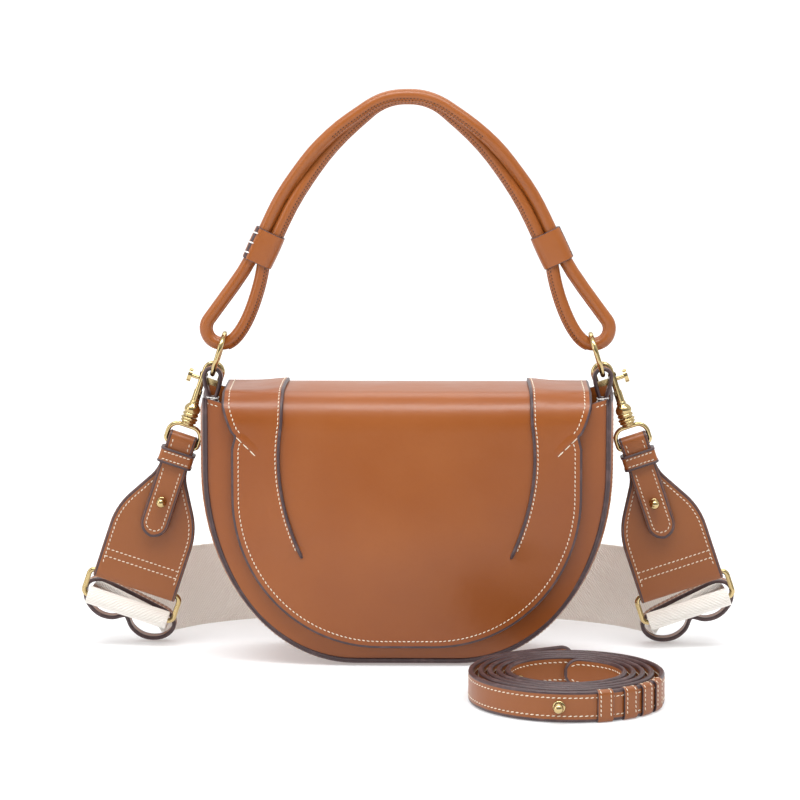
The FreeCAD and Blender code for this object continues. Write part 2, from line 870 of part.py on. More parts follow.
def strap_tab():
    """The narrow layer folded over the front, with a round end."""
    half = neck_width / 2
    top = -neck_top - panel_back_y
    low = -tab_end_drop + half
    edges = [
        line(Vector(half, 0, low), Vector(half, 0, top)),
        line(Vector(half, 0, top), Vector(-half, 0, top)),
        line(Vector(-half, 0, top), Vector(-half, 0, low)),
        Part.Arc(Vector(-half, 0, low), Vector(0, 0, low - half), Vector(half, 0, low)).toShape(),
    ]
    return plate(edges, leather, -panel_back_y)


def bent_sheet(half, centre_y, centre_z, inner, way):
    """Half a leather tube about a bar across the strap, on its upper or lower side."""
    outer = inner + leather

    def at(y, z):
        return Vector(-half, centre_y + y, centre_z + way * z)

    edges = [
        Part.Arc(at(-outer, 0), at(0, outer), at(outer, 0)).toShape(),
        line(at(outer, 0), at(inner, 0)),
        Part.Arc(at(inner, 0), at(0, inner), at(-inner, 0)).toShape(),
        line(at(-inner, 0), at(-outer, 0)),
    ]
    return Part.Face(Part.Wire(edges)).extrude(Vector(2 * half, 0, 0))


def strap_end():
    """The leather strap end in one piece: tab, loop through the eye, panel and sewn fold."""
    neck = bent_sheet(neck_width / 2, 0, -neck_top - panel_back_y, bore_half, 1)
    fold = bent_sheet(panel_width / 2, frame_y, -fold_drop, frame_radius + seat_gap, -1)
    near = panel_back_y
    far = frame_y + frame_radius + seat_gap
    x = -panel_width / 2
    tail = [
        Vector(x, far, -fold_drop),
        Vector(x, near, -fold_drop + fold_taper),
        Vector(x, near, -fold_drop + fold_back),
        Vector(x, near + leather, -fold_drop + fold_back),
        Vector(x, near + leather, -fold_drop + fold_taper),
        Vector(x, far + leather, -fold_drop),
    ]
    lap = prism(tail, Vector(panel_width, 0, 0))
    hole = disc(stud_hole, Vector(0, -overrun, -stud_drop), Vector(0, 2 * overrun, 0))
    return taper_panel().fuse([strap_tab(), neck, fold, lap]).cut(hole)


def ball_stud(post, ball, base, base_thick, grip):
    """A screw stud through leather of a given grip, its ball towards -Y, its base on y = 0."""
    foot = disc(base, Vector(0, 0, 0), Vector(0, base_thick, 0))
    neck = disc(post, Vector(0, 0, 0), Vector(0, -grip - ball, 0))
    head = Part.makeSphere(ball, Vector(0, -grip - ball - seat_gap, 0))
    return foot.fuse([neck, head])


def end_stud():
    stud = ball_stud(stud_post, stud_ball, stud_base, stud_base_thick, 2 * panel_back_y)
    stud.translate(Vector(0, panel_back_y, -stud_drop))
    return stud


def band(half_x, half_y, wall, length, corner):
    """An upright loop of leather with rounded outer corners, hanging from z = 0."""
    outer = Part.makeBox(
        2 * (half_x + wall),
        2 * (half_y + wall),
        length,
        Vector(-half_x - wall, -half_y - wall, -length),
    )
    upright = [e for e in outer.Edges if abs(e.tangentAt(e.FirstParameter).z) > upright_share]
    outer = outer.makeFillet(corner, upright)
    inner = Part.makeBox(
        2 * half_x,
        2 * half_y,
        length + 2 * overrun,
        Vector(-half_x, -half_y, -length - overrun),
    )
    return outer.cut(inner)


def end_keeper():
    loop = band(
        neck_width / 2 + seat_gap,
        panel_back_y + seat_gap,
        end_keeper_wall,
        end_keeper_length,
        end_keeper_wall,
    )
    loop.translate(Vector(0, 0, -end_keeper_drop))
    return loop


def strap_ring():
    ring = wire_frame(frame_half, -fold_drop, -frame_bar_drop, frame_corner, frame_corner, frame_radius)
    ring.translate(Vector(0, frame_y, 0))
    return ring


# Webbing

def webbing_fold():
    """The sewn loop of webbing about the strap ring's lower bar."""
    x = -webbing_width / 2
    bore = frame_radius + webbing_bore_gap
    outer = bore + webbing_thick
    along = Vector(webbing_width, 0, 0)
    centre = Vector(x, frame_y, -frame_bar_drop)
    tail_y = frame_y + webbing_tail
    tail = [
        Vector(x, frame_y, centre.z + outer),
        Vector(x, tail_y, centre.z + webbing_thick / 2),
        Vector(x, tail_y, centre.z - webbing_thick / 2),
        Vector(x, frame_y, centre.z - outer),
    ]
    return on_strap(disc(outer, centre, along).fuse(prism(tail, along)).cut(disc(bore, centre, along)))


def webbing_section(lower, upper, run):
    """The cut across the webbing between two edge points, square to its run."""
    normal = run.cross(upper - lower).normalize() * (webbing_thick / 2)
    corners = [lower - normal, upper - normal, upper + normal, lower + normal]
    return Part.makePolygon(corners + corners[:1])


def strap_webbing():
    """The webbing: from the right ring it twists up onto its edge, then runs behind the bag."""
    half = webbing_width / 2
    tail_y = frame_y + webbing_tail
    lower = [strap_point(-half, tail_y, -frame_bar_drop)] + [Vector(*p) for p in webbing_lower_edge]
    upper = [strap_point(half, tail_y, -frame_bar_drop)]
    upper += [Vector(*p) + Vector(*w) for p, w in zip(webbing_lower_edge, webbing_upper_way)]
    middles = [(a + b) * (1 / 2) for a, b in zip(lower, upper)]
    runs = [Vector(0, 1, 0)]
    runs += [b - a for a, b in zip(middles, middles[2:])]
    runs.append(Vector(*webbing_mid_run))
    sections = [webbing_section(*place) for place in zip(lower, upper, runs)]
    right = Part.makeLoft(sections, True, True).fuse(webbing_fold())
    print("webbing length", round(2 * sum((b - a).Length for a, b in zip(middles, middles[1:]))))
    return right.fuse(mirrored(right)).removeSplitter()


def webbing_keeper():
    """The right-hand leather loop round the webbing: flat above, with two lobes below."""

    def at(x, z):
        return Vector(x, 0, z)

    foot = at(web_keeper_foot_half, -web_keeper_foot)
    cusp = at(web_keeper_cusp_half, -web_keeper_cusp)
    lobe = at(web_keeper_lobe_half, -web_keeper_lobe)
    flat_end = at(web_keeper_flat_half, web_keeper_room)
    side = [
        Part.Arc(flat_end, at(web_keeper_half, 0), foot).toShape(),
        Part.Arc(foot, lobe, cusp).toShape(),
    ]
    cusp_tip = at(0, -web_keeper_cusp + web_keeper_cusp_rise)
    middle = [
        line(flat_end, flipped([flat_end])[0]),
        Part.Arc(cusp, cusp_tip, flipped([cusp])[0]).toShape(),
    ]
    inside = Part.Wire(Part.__sortEdges__(side + [mirrored(edge) for edge in side] + middle))
    outside = inside.makeOffset2D(web_keeper_wall)
    loop = Part.Face(outside).cut(Part.Face(inside)).extrude(Vector(0, web_keeper_depth, 0))
    loop.rotate(Vector(0, 0, 0), Vector(0, 1, 0), -web_keeper_tilt)
    loop.translate(Vector(web_keeper_x, web_keeper_y, web_keeper_height))
    return loop


# Narrow strap

def coil_turns():
    """The coil's half turns from the outside in: centre y, radius, start and end angle."""
    turns = []
    centre = coil_y
    radius = coil_radius
    steps = [coil_first_step, coil_loose_step] + [coil_step] * coil_half_turns
    for number in range(coil_half_turns):
        start = coil_start + half_turn * number
        turns.append((centre, radius, tip_angle if number == 0 else start, start + half_turn))
        step = steps[number]
        centre += step if number % 2 else -step
        radius -= step
    return turns


def coil_point(centre, radius, angle):
    turn = math.radians(angle)
    return Vector(coil_x + radius * math.cos(turn), centre + radius * math.sin(turn), narrow_lift)


def coil_side(turns, shift):
    """One long face of the strap as arcs, at a distance from its middle line."""
    edges = []
    for centre, radius, start, end in turns:
        places = [coil_point(centre, radius + shift, a) for a in (start, (start + end) / 2, end)]
        edges.append(Part.Arc(*places).toShape())
    return edges


def coil_gap(turns):
    """The least gap between the strap's neighbouring turns, measured on points."""
    points = []
    for number, (centre, radius, start, end) in enumerate(turns):
        for step in range(probe_points):
            angle = start + (end - start) * step / probe_points
            points.append((number + step / probe_points, coil_point(centre, radius, angle)))
    gaps = [(a - b).Length for m, a in points for n, b in points if n - m > 1]
    return min(gaps) - narrow_thick


def stud_on_coil(turn, angle, way):
    """A ball stud through the strap, its ball outwards or inwards, and the hole for it."""
    centre, radius = turn[0], turn[1]
    height = Vector(0, 0, narrow_width / 2)
    stud = ball_stud(
        narrow_stud_post,
        narrow_stud_ball,
        narrow_stud_base,
        narrow_stud_base_thick,
        narrow_thick + sewn_gap,
    )
    through = Vector(0, -narrow_thick - 2 * sewn_gap, 0)
    hole = disc(narrow_stud_post + sewn_gap, Vector(0, 0, 0), through)
    foot = coil_point(centre, radius - way * (narrow_thick / 2 + sewn_gap), angle) + height
    for shape in (stud, hole):
        shape.rotate(Vector(0, 0, 0), Vector(0, 0, 1), angle + 90 if way > 0 else angle - 90)
        shape.translate(foot)
    return stud, hole


def narrow_keeper(turn, angle):
    """A leather loop on the strap's outer turn, curved with it."""
    centre, radius = turn[0], turn[1]
    hub = Vector(coil_x, centre, 0)
    half = narrow_thick / 2 + narrow_keeper_gap
    sweep = math.degrees(narrow_keeper_length / radius)
    wall = narrow_keeper_wall

    def frame(grow):
        inner = radius - half - grow
        outer = radius + half + grow
        low = narrow_lift - narrow_keeper_gap - grow
        high = narrow_lift + narrow_width + narrow_keeper_gap + grow
        return [
            Vector(inner, 0, low),
            Vector(outer, 0, low),
            Vector(outer, 0, high),
            Vector(inner, 0, high),
        ]

    rings = [Part.makePolygon(points + points[:1]) for points in (frame(wall), frame(0))]
    face = Part.Face(rings[0]).cut(Part.Face(rings[1]))
    loop = face.revolve(Vector(0, 0, 0), Vector(0, 0, 1), sweep)
    loop.rotate(Vector(0, 0, 0), Vector(0, 0, 1), angle - sweep / 2)
    loop.translate(hub)
    return loop


def build_narrow_strap():
    turns = coil_turns()
    outer = coil_side(turns, narrow_thick / 2)
    inner = coil_side(turns, -narrow_thick / 2)
    lean_angle = math.radians(tip_angle)
    tip = Vector(math.sin(lean_angle), -math.cos(lean_angle), 0) * tip_length
    first_outer = coil_point(turns[0][0], turns[0][1] + narrow_thick / 2, tip_angle)
    first_inner = coil_point(turns[0][0], turns[0][1] - narrow_thick / 2, tip_angle)
    last = turns[-1]
    last_outer = coil_point(last[0], last[1] + narrow_thick / 2, last[3])
    last_inner = coil_point(last[0], last[1] - narrow_thick / 2, last[3])
    edges = [line(first_outer + tip, first_outer)] + outer
    edges += [line(last_outer, last_inner)] + list(reversed(inner))
    edges += [line(first_inner, first_inner + tip), line(first_inner + tip, first_outer + tip)]
    strap = Part.Face(Part.Wire(Part.__sortEdges__(edges))).extrude(Vector(0, 0, narrow_width))
    front_stud, front_hole = stud_on_coil(turns[0], narrow_stud_angle + 360, 1)
    inner_stud, inner_hole = stud_on_coil(turns[-2], inner_stud_angle, -1)
    save("narrow_strap", strap.cut([front_hole, inner_hole]))
    save("narrow_front_stud", front_stud)
    save("narrow_inner_stud", inner_stud)
    for number, angle in enumerate(narrow_keeper_angles):
        save("narrow_keeper_%d" % (number + 1), narrow_keeper(turns[1], angle))
    length = sum(math.radians(end - start) * radius for _, radius, start, end in turns)
    print("narrow strap length", round(length + tip_length))
    print("least gap between turns", round(coil_gap(turns), 2))


def main():
    os.makedirs("parts", exist_ok=True)
    build_body()
    save_pair("tab", tab())
    save_pair("oval_ring", oval_ring())
    build_flap()
    save("handle_cord", handle_cord())
    save_pair("handle_sleeve", sleeve())
    save_pair("snap_hook", on_strap(snap_hook()))
    save_pair("hook_bolt", on_strap(hook_bolt()))
    save_pair("swivel_eye", on_strap(swivel_eye()))
    save_pair("strap_end", on_strap(strap_end()))
    save_pair("end_stud", on_strap(end_stud()))
    save_pair("end_keeper", on_strap(end_keeper()))
    save_pair("strap_ring", on_strap(strap_ring()))
    save("strap_webbing", strap_webbing())
    save_pair("webbing_keeper", webbing_keeper())
    build_narrow_strap()


main()
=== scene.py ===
"""Looks of the saddle handbag: leather, thread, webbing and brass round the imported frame.

Sizes are in millimetres in the classes and become metres when a piece's mesh is finished.
"""

from __future__ import annotations

import logging
import math
from bisect import bisect_left
from dataclasses import dataclass
from enum import Enum
from typing import Callable, ClassVar, Sequence

import bmesh
import bpy
from mathutils import Matrix, Vector

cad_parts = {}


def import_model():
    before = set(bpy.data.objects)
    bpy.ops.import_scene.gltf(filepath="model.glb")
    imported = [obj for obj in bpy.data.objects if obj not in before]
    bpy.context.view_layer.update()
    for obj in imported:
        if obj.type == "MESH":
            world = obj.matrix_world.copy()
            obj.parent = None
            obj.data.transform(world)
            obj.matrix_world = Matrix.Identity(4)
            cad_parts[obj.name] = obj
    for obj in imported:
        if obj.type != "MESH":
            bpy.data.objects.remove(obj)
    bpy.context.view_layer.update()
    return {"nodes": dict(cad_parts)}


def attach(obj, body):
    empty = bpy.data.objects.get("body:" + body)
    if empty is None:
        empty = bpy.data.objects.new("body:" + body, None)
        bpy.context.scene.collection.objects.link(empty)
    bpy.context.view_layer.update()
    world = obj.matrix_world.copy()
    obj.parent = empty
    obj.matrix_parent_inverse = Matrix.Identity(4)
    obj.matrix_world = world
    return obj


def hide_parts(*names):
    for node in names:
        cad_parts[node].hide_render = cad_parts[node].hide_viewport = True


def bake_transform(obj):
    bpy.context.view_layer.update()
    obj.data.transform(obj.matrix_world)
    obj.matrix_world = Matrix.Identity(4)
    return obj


LOG = logging.getLogger("saddle_handbag")
MM = 0.001
SIDES = (1, -1)
SIDE_NAMES = {1: "right", -1: "left"}
LAID = Matrix.Rotation(math.pi / 2, 4, "Y")
Colour = tuple[float, float, float, float]
Place = Callable[[float, float], Vector]
Line = list[tuple[float, float]]
Pairs = tuple[tuple[float, float], ...]
Seam = list[tuple[Vector, Vector]]


class Grow(Enum):
    """Which way a sheet gets its thickness."""

    INWARD = -1.0
    BOTH = 0.0
    OUTWARD = 1.0


# Shader values and finishes


def maths(operation: str, reflected: bool = False) -> Callable[..., "Value"]:
    """Make an operator of Value that adds one Math node.

    Args:
        operation: The node's operation.
        reflected: True where the value stands on the right.

    Returns:
        The operator.
    """

    def operator(value: "Value", other: object = 0.0) -> "Value":
        """Add the node."""
        first, second = (other, value) if reflected else (value, other)
        return value.graph.node("ShaderNodeMath", {"operation": operation}, {0: first, 1: second})

    return operator


class Value:
    """A node's output socket that takes part in Python arithmetic."""

    __add__ = maths("ADD")
    __radd__ = maths("ADD", True)
    __sub__ = maths("SUBTRACT")
    __rsub__ = maths("SUBTRACT", True)
    __mul__ = maths("MULTIPLY")
    __rmul__ = maths("MULTIPLY", True)
    sine = maths("SINE")
    above = maths("GREATER_THAN")

    def __init__(self, graph: "Graph", socket: bpy.types.NodeSocket) -> None:
        """Keep the socket and the graph it belongs to."""
        self.graph = graph
        self.socket = socket


def opaque(red: float, green: float, blue: float) -> Colour:
    """A colour that nothing shows through."""
    return (red, green, blue, 1.0)


class Graph:
    """The node tree of one finish."""

    def __init__(self, name: str) -> None:
        """Start an empty material with a surface shader.

        Args:
            name: The material's name.
        """
        self.material = bpy.data.materials.new(name)
        self.material.use_nodes = True
        self.tree = self.material.node_tree
        self.tree.nodes.clear()
        self.output = self.tree.nodes.new("ShaderNodeOutputMaterial")
        self.shader = self.tree.nodes.new("ShaderNodeBsdfPrincipled")
        self.tree.links.new(self.shader.outputs[0], self.output.inputs["Surface"])

    def node(
        self,
        kind: str,
        settings: dict[str, object] | None = None,
        inputs: dict[str | int, object] | None = None,
        out: str | int = 0,
    ) -> Value:
        """Add a node.

        Args:
            kind: The node's type.
            settings: Its own properties, set first.
            inputs: Values or links of its sockets.
            out: The output that is wanted.

        Returns:
            That output.
        """
        node = self.tree.nodes.new(kind)
        for key, item in (settings or {}).items():
            setattr(node, key, item)
        for key, item in (inputs or {}).items():
            self.feed(node.inputs[key], item)
        return Value(self, node.outputs[out])

    def feed(self, socket: bpy.types.NodeSocket, item: object) -> None:
        """Link a value to a socket, or set a number or colour on it."""
        if isinstance(item, Value):
            self.tree.links.new(item.socket, socket)
        else:
            socket.default_value = item

    def mix(self, share: object, first: object, second: object) -> Value:
        """Mix two colours by a share."""
        return self.node(
            "ShaderNodeMix", {"data_type": "RGBA"}, {0: share, 6: first, 7: second}, 2
        )

    def spread(self, value: Value, low: float, high: float) -> Value:
        """Stretch a band of a value to run from nothing to one."""
        band = {"Value": value, "From Min": low, "From Max": high}
        return self.node("ShaderNodeMapRange", {}, band)

    def noise(self, vector: Value, scale: float, detail: float = 3.0, rough: float = 0.55) -> Value:
        """Smooth noise over a vector.

        Args:
            vector: Where it is read.
            scale: Its fineness.
            detail: Its number of layers.
            rough: The strength of its finer layers.

        Returns:
            The noise, from nothing to one.
        """
        return self.node(
            "ShaderNodeTexNoise",
            {},
            {"Vector": vector, "Scale": scale, "Detail": detail, "Roughness": rough},
            "Fac",
        )

    def axes(self, vector: Value) -> list[Value]:
        """The three parts of a vector."""
        parts = self.node("ShaderNodeSeparateXYZ", {}, {"Vector": vector}).socket.node
        return [Value(self, socket) for socket in parts.outputs]

    def place(self) -> Value:
        """The piece's own coordinates."""
        return self.node("ShaderNodeTexCoord", {}, {}, "Object")

    def weave(self) -> Value:
        """The piece's own map, in metres along and across."""
        return self.node("ShaderNodeTexCoord", {}, {}, "UV")

    def bump(
        self, height: Value, depth: float, strength: float, under: Value | None = None
    ) -> Value:
        """A bumped normal.

        Args:
            height: The relief, from nothing to one.
            depth: The height of one, in metres.
            strength: The share of the bump that shows.
            under: A bumped normal that this one goes over.

        Returns:
            The normal.
        """
        sockets = {"Strength": strength, "Distance": depth, "Height": height}
        if under:
            sockets["Normal"] = under
        return self.node("ShaderNodeBump", {}, sockets)

    def dress(self, **sockets: object) -> bpy.types.Material:
        """Feed the shader's sockets, named with underscores, and hand over the material."""
        for key, item in sockets.items():
            self.feed(self.shader.inputs[key.replace("_", " ")], item)
        return self.material


@dataclass(frozen=True)
class Leather:
    """Smooth calf leather with a fine grain and a soft shine."""

    name: str
    colour: Colour
    deep: Colour
    pale: Colour
    shine: float = 0.31
    grain: float = 0.00005

    def make(self) -> bpy.types.Material:
        """Build the material.

        Returns:
            The material.
        """
        graph = Graph(self.name)
        place = graph.place()
        cloud = graph.spread(graph.noise(place, 26.0, 4.0), 0.34, 0.70)
        blotch = graph.spread(graph.noise(place, 9.0, 2.0), 0.38, 0.66)
        speck = graph.spread(graph.noise(place, 420.0, 2.0), 0.52, 0.80)
        tone = graph.mix(cloud * 0.55, self.colour, self.pale)
        tone = graph.mix(blotch * 0.45, tone, self.deep)
        tone = graph.mix(speck * 0.14, tone, self.deep)
        cells = graph.node(
            "ShaderNodeTexVoronoi",
            {"feature": "SMOOTH_F1"},
            {"Vector": place, "Scale": 1250.0, "Smoothness": 0.6},
            "Distance",
        )
        pores = graph.noise(place, 2100.0, 2.0)
        waves = graph.noise(place, 60.0, 3.0)
        relief = cells * 0.6 + pores * 0.5
        fine = graph.bump(relief, self.grain, 0.55)
        broad = graph.bump(waves, 0.0012, 0.25, fine)
        rough = self.shine + (cloud - 0.5) * 0.10 + pores * 0.06
        return graph.dress(
            Base_Color=tone,
            Roughness=rough,
            Normal=broad,
            Specular_IOR_Level=0.43,
            Coat_Weight=0.05,
            Coat_Roughness=0.22,
        )


@dataclass(frozen=True)
class EdgePaint:
    """Dark satin paint on cut leather edges, paler and rougher in patches at random."""

    name: str
    colour: Colour
    pale_patch: Colour

    def make(self) -> bpy.types.Material:
        """Build the material.

        Returns:
            The material.
        """
        graph = Graph(self.name)
        place = graph.place()
        # Random noise picks paler, rougher patches of the paint.
        patches = graph.spread(graph.noise(place, 160.0, 4.0), 0.50, 0.82)
        tone = graph.mix(patches * 0.5, self.colour, self.pale_patch)
        relief = graph.noise(place, 900.0, 2.0)
        return graph.dress(
            Base_Color=tone,
            Roughness=0.36 + patches * 0.18,
            Normal=graph.bump(relief, 0.00012, 0.5),
        )


@dataclass(frozen=True)
class Cloth:
    """A close cloth for linings, woven along the piece's own coordinates."""

    name: str
    colour: Colour
    pale: Colour
    threads: float = 7000.0

    def make(self) -> bpy.types.Material:
        """Build the material.

        Returns:
            The material.
        """
        graph = Graph(self.name)
        place = graph.place()
        x, y, z = graph.axes(place)
        warp = (x * self.threads).sine()
        weft = ((z + y) * self.threads).sine()
        relief = (warp * weft) * 0.5 + 0.5
        cloud = graph.spread(graph.noise(place, 40.0, 3.0), 0.35, 0.7)
        tone = graph.mix(cloud * 0.5, self.colour, self.pale)
        tone = graph.mix(relief * 0.25, tone, self.pale)
        return graph.dress(
            Base_Color=tone,
            Roughness=0.86,
            Normal=graph.bump(relief, 0.0002, 0.6),
            Sheen_Weight=0.2,
        )


@dataclass(frozen=True)
class Webbing:
    """Cream webbing with fine slanting ribs and a plain selvedge."""

    name: str
    colour: Colour
    shade: Colour
    width: float
    rib_pitch: float = 1.9
    rib_slant: float = 0.82
    selvedge: float = 2.2

    def make(self) -> bpy.types.Material:
        """Build the material.

        Returns:
            The material.
        """
        graph = Graph(self.name)
        across, along, _ = graph.axes(graph.weave())
        turn = 2 * math.pi / (self.rib_pitch * MM)
        ribs = ((along - across * self.rib_slant) * turn).sine() * 0.5 + 0.5
        yarn = ((along + across * 0.55) * (turn * 2.7)).sine() * 0.5 + 0.5
        middle = across - self.width * MM / 2
        edge = (middle * middle).above((self.width / 2 - self.selvedge) ** 2 * MM * MM)
        plain = (along * (turn * 1.6)).sine() * 0.5 + 0.5
        relief = (ribs * 0.8 + yarn * 0.2) * (1 - edge) + plain * edge * 0.7
        fuzz = graph.noise(graph.place(), 2600.0, 2.0)
        cloud = graph.spread(graph.noise(graph.place(), 30.0, 3.0), 0.35, 0.7)
        tone = graph.mix((1 - relief) * 0.55, self.colour, self.shade)
        tone = graph.mix(cloud * 0.18, tone, self.shade)
        return graph.dress(
            Base_Color=tone,
            Roughness=0.80 + fuzz * 0.15,
            Normal=graph.bump(relief + fuzz * 0.18, 0.00045, 0.75),
            Sheen_Weight=0.15,
        )


@dataclass(frozen=True)
class Thread:
    """Waxed cream sewing thread with a twist."""

    name: str
    colour: Colour
    shade: Colour

    def make(self) -> bpy.types.Material:
        """Build the material.

        Returns:
            The material.
        """
        graph = Graph(self.name)
        place = graph.place()
        cloud = graph.spread(graph.noise(place, 900.0, 2.0), 0.35, 0.7)
        tone = graph.mix(cloud * 0.5, self.colour, self.shade)
        return graph.dress(
            Base_Color=tone,
            Roughness=0.55 + cloud * 0.15,
            Normal=graph.bump(graph.noise(place, 2500.0, 2.0), 0.00015, 0.6),
        )


@dataclass(frozen=True)
class Metal:
    """Polished metal with faint hairlines and handling marks."""

    name: str
    colour: Colour
    dull: Colour
    shine: float = 0.16

    def make(self) -> bpy.types.Material:
        """Build the material.

        Returns:
            The material.
        """
        graph = Graph(self.name)
        place = graph.place()
        smudge = graph.spread(graph.noise(place, 90.0, 4.0), 0.42, 0.75)
        hair = graph.noise(
            graph.node("ShaderNodeMapping", {}, {"Vector": place, "Scale": (1.0, 1.0, 0.06)}),
            3200.0,
            2.0,
        )
        tone = graph.mix(smudge * 0.35, self.colour, self.dull)
        return graph.dress(
            Base_Color=tone,
            Metallic=1.0,
            Roughness=self.shine + smudge * 0.08 + hair * 0.05,
            Normal=graph.bump(hair, 0.00002, 0.35),
        )


@dataclass(frozen=True)
class Floor:
    """Pale seamless studio paper that glows a little, more so away from the bag."""

    name: str
    colour: Colour
    near: float = 0.34
    far: float = 0.56
    fade: tuple[float, float] = (0.3, 1.4)

    def make(self) -> bpy.types.Material:
        """Build the material.

        Returns:
            The material.
        """
        graph = Graph(self.name)
        grain = graph.noise(graph.place(), 600.0, 2.0)
        dim = opaque(*(part * 0.985 for part in self.colour[:3]))
        reach = graph.node(
            "ShaderNodeVectorMath", {"operation": "LENGTH"}, {"Vector": graph.place()}, "Value"
        )
        glow = graph.mix(
            graph.spread(reach, *self.fade), opaque(*[self.near] * 3), opaque(*[self.far] * 3)
        )
        return graph.dress(
            Base_Color=graph.mix(grain * 0.3, self.colour, dim),
            Roughness=0.9,
            Emission_Color=glow,
            Emission_Strength=1.0,
        )


class Finishes:
    """Every finish of the bag, made once."""

    def __init__(self) -> None:
        """Build all materials."""
        tan = opaque(0.276, 0.074, 0.0115)
        hides = {
            "body": (tan, opaque(0.218, 0.052, 0.0075), opaque(0.320, 0.096, 0.020), 0.31),
            # The handle's hide is a paler copy of the body's: painted light from above on the
            # raised handle.
            "handle": (opaque(0.300, 0.086, 0.015), tan, opaque(0.352, 0.112, 0.026), 0.30),
            "strap": (
                opaque(0.272, 0.083, 0.018),
                opaque(0.212, 0.058, 0.011),
                opaque(0.316, 0.106, 0.029),
                0.36,
            ),
        }
        self.body = Leather("body_leather", *hides["body"]).make()
        self.flap = Leather("flap_leather", *hides["body"]).make()
        self.handle = Leather("handle_leather", *hides["handle"]).make()
        self.strap = Leather("strap_leather", *hides["strap"]).make()
        paint = opaque(0.060, 0.033, 0.035), opaque(0.20, 0.122, 0.116)
        self.edge = EdgePaint("edge_paint", *paint).make()
        self.cut_body = [self.body, self.edge]
        self.cut_flap = [self.flap, self.edge]
        self.cut_handle = [self.handle, self.edge]
        self.cut_strap = [self.strap, self.edge]
        cloth = opaque(0.120, 0.060, 0.036), opaque(0.165, 0.088, 0.055)
        self.lining = Cloth("lining_cloth", *cloth).make()
        cream = opaque(0.94, 0.905, 0.845), opaque(0.76, 0.705, 0.630)
        self.webbing = Webbing("cream_webbing", *cream, 50.0).make()
        cream = opaque(0.80, 0.72, 0.58), opaque(0.64, 0.54, 0.40)
        self.thread = Thread("cream_thread", *cream).make()
        brown = opaque(0.075, 0.024, 0.008), opaque(0.045, 0.014, 0.006)
        self.brown_thread = Thread("brown_thread", *brown).make()
        white = opaque(0.86, 0.84, 0.82), opaque(0.74, 0.71, 0.68)
        self.white_thread = Thread("white_lacing", *white).make()
        brass = opaque(0.56, 0.43, 0.21), opaque(0.36, 0.262, 0.115)
        self.brass = Metal("pale_brass", *brass, 0.12).make()
        steel = opaque(0.62, 0.61, 0.60), opaque(0.48, 0.47, 0.46)
        self.steel = Metal("magnet_steel", *steel, 0.3).make()


# Points and lines


def vec(x: float = 0.0, y: float = 0.0, z: float = 0.0) -> Vector:
    """A point or a direction."""
    return Vector((x, y, z))


def to_side(point: Vector, side: float) -> Vector:
    """A point of the right side, taken to the side that is asked for."""
    return vec(side * point.x, point.y, point.z)


def mirrored(points: Sequence[Vector]) -> list[Vector]:
    """A line of the right side on the left, run backwards."""
    return [to_side(point, -1) for point in reversed(points)]


def evenly(low: float, high: float, count: int) -> list[float]:
    """Numbers evenly spaced from low to high, both included."""
    return [low + (high - low) * number / count for number in range(count + 1)]


def numbers(count: int) -> list[float]:
    """The first few whole numbers, for rows that are told by their number."""
    return [float(number) for number in range(count)]


def tidied(points: Sequence[Vector], least: float = 0.02) -> list[Vector]:
    """Drop points that lie on the one before.

    Args:
        points: Points of a line.
        least: The least distance that is kept.

    Returns:
        The points that stay.
    """
    kept = [points[0]]
    for point in points[1:]:
        if (point - kept[-1]).length > least:
            kept.append(point)
    return kept


def filled(points: Sequence[Vector], most: float) -> list[Vector]:
    """Add points on long runs.

    Args:
        points: Points of a line.
        most: The longest run that stays undivided.

    Returns:
        The points with those between them.
    """
    full = [points[0]]
    for before, after in zip(points, points[1:]):
        count = max(1, math.ceil((after - before).length / most))
        full += [before.lerp(after, share) for share in evenly(0.0, 1.0, count)[1:]]
    return full


def arc(
    centre: Vector, first: Vector, second: Vector, low: float, high: float, count: int
) -> list[Vector]:
    """Points of an arc about a centre, from its first two quarter radii and angles in degrees."""
    turns = [math.radians(angle) for angle in evenly(low, high, count)]
    return [centre + first * math.cos(turn) + second * math.sin(turn) for turn in turns]


def rounded(points: Sequence[Vector], bends: Sequence[float], step: float) -> list[Vector]:
    """Straight runs joined by round bends.

    Args:
        points: Corner points of the run.
        bends: Tangent length at each inner point.
        step: Degrees between the points of a bend.

    Returns:
        Points along the run.
    """
    way = [points[0]]
    for before, point, after, tangent in zip(points, points[1:], points[2:], bends):
        back = (before - point).normalized()
        ahead = (after - point).normalized()
        half = back.angle(ahead) / 2
        centre = point + (back + ahead).normalized() * (tangent / math.cos(half))
        start = point + back * tangent - centre
        side = point + ahead * tangent - centre
        sweep = math.pi - 2 * half
        square = (side - start * math.cos(sweep)) / math.sin(sweep)
        count = max(2, math.ceil(math.degrees(sweep) / step))
        for turn in evenly(0.0, sweep, count):
            way.append(centre + start * math.cos(turn) + square * math.sin(turn))
    way.append(points[-1])
    return tidied(way)


def curve_through(points: Sequence[Vector], steps: int) -> list[Vector]:
    """A smooth line through points.

    Args:
        points: Points that the line meets.
        steps: Steps from each point to the next.

    Returns:
        Points along the line.
    """
    full = [points[0] * 2 - points[1]] + list(points) + [points[-1] * 2 - points[-2]]
    line = []
    for a, b, c, d in zip(full, full[1:], full[2:], full[3:]):
        square = 2 * a - 5 * b + 4 * c - d
        cube = 3 * b - a - 3 * c + d
        for share in evenly(0.0, 1.0, steps)[:-1]:
            line.append(0.5 * (2 * b + (c - a) * share + square * share**2 + cube * share**3))
    return line + [points[-1]]


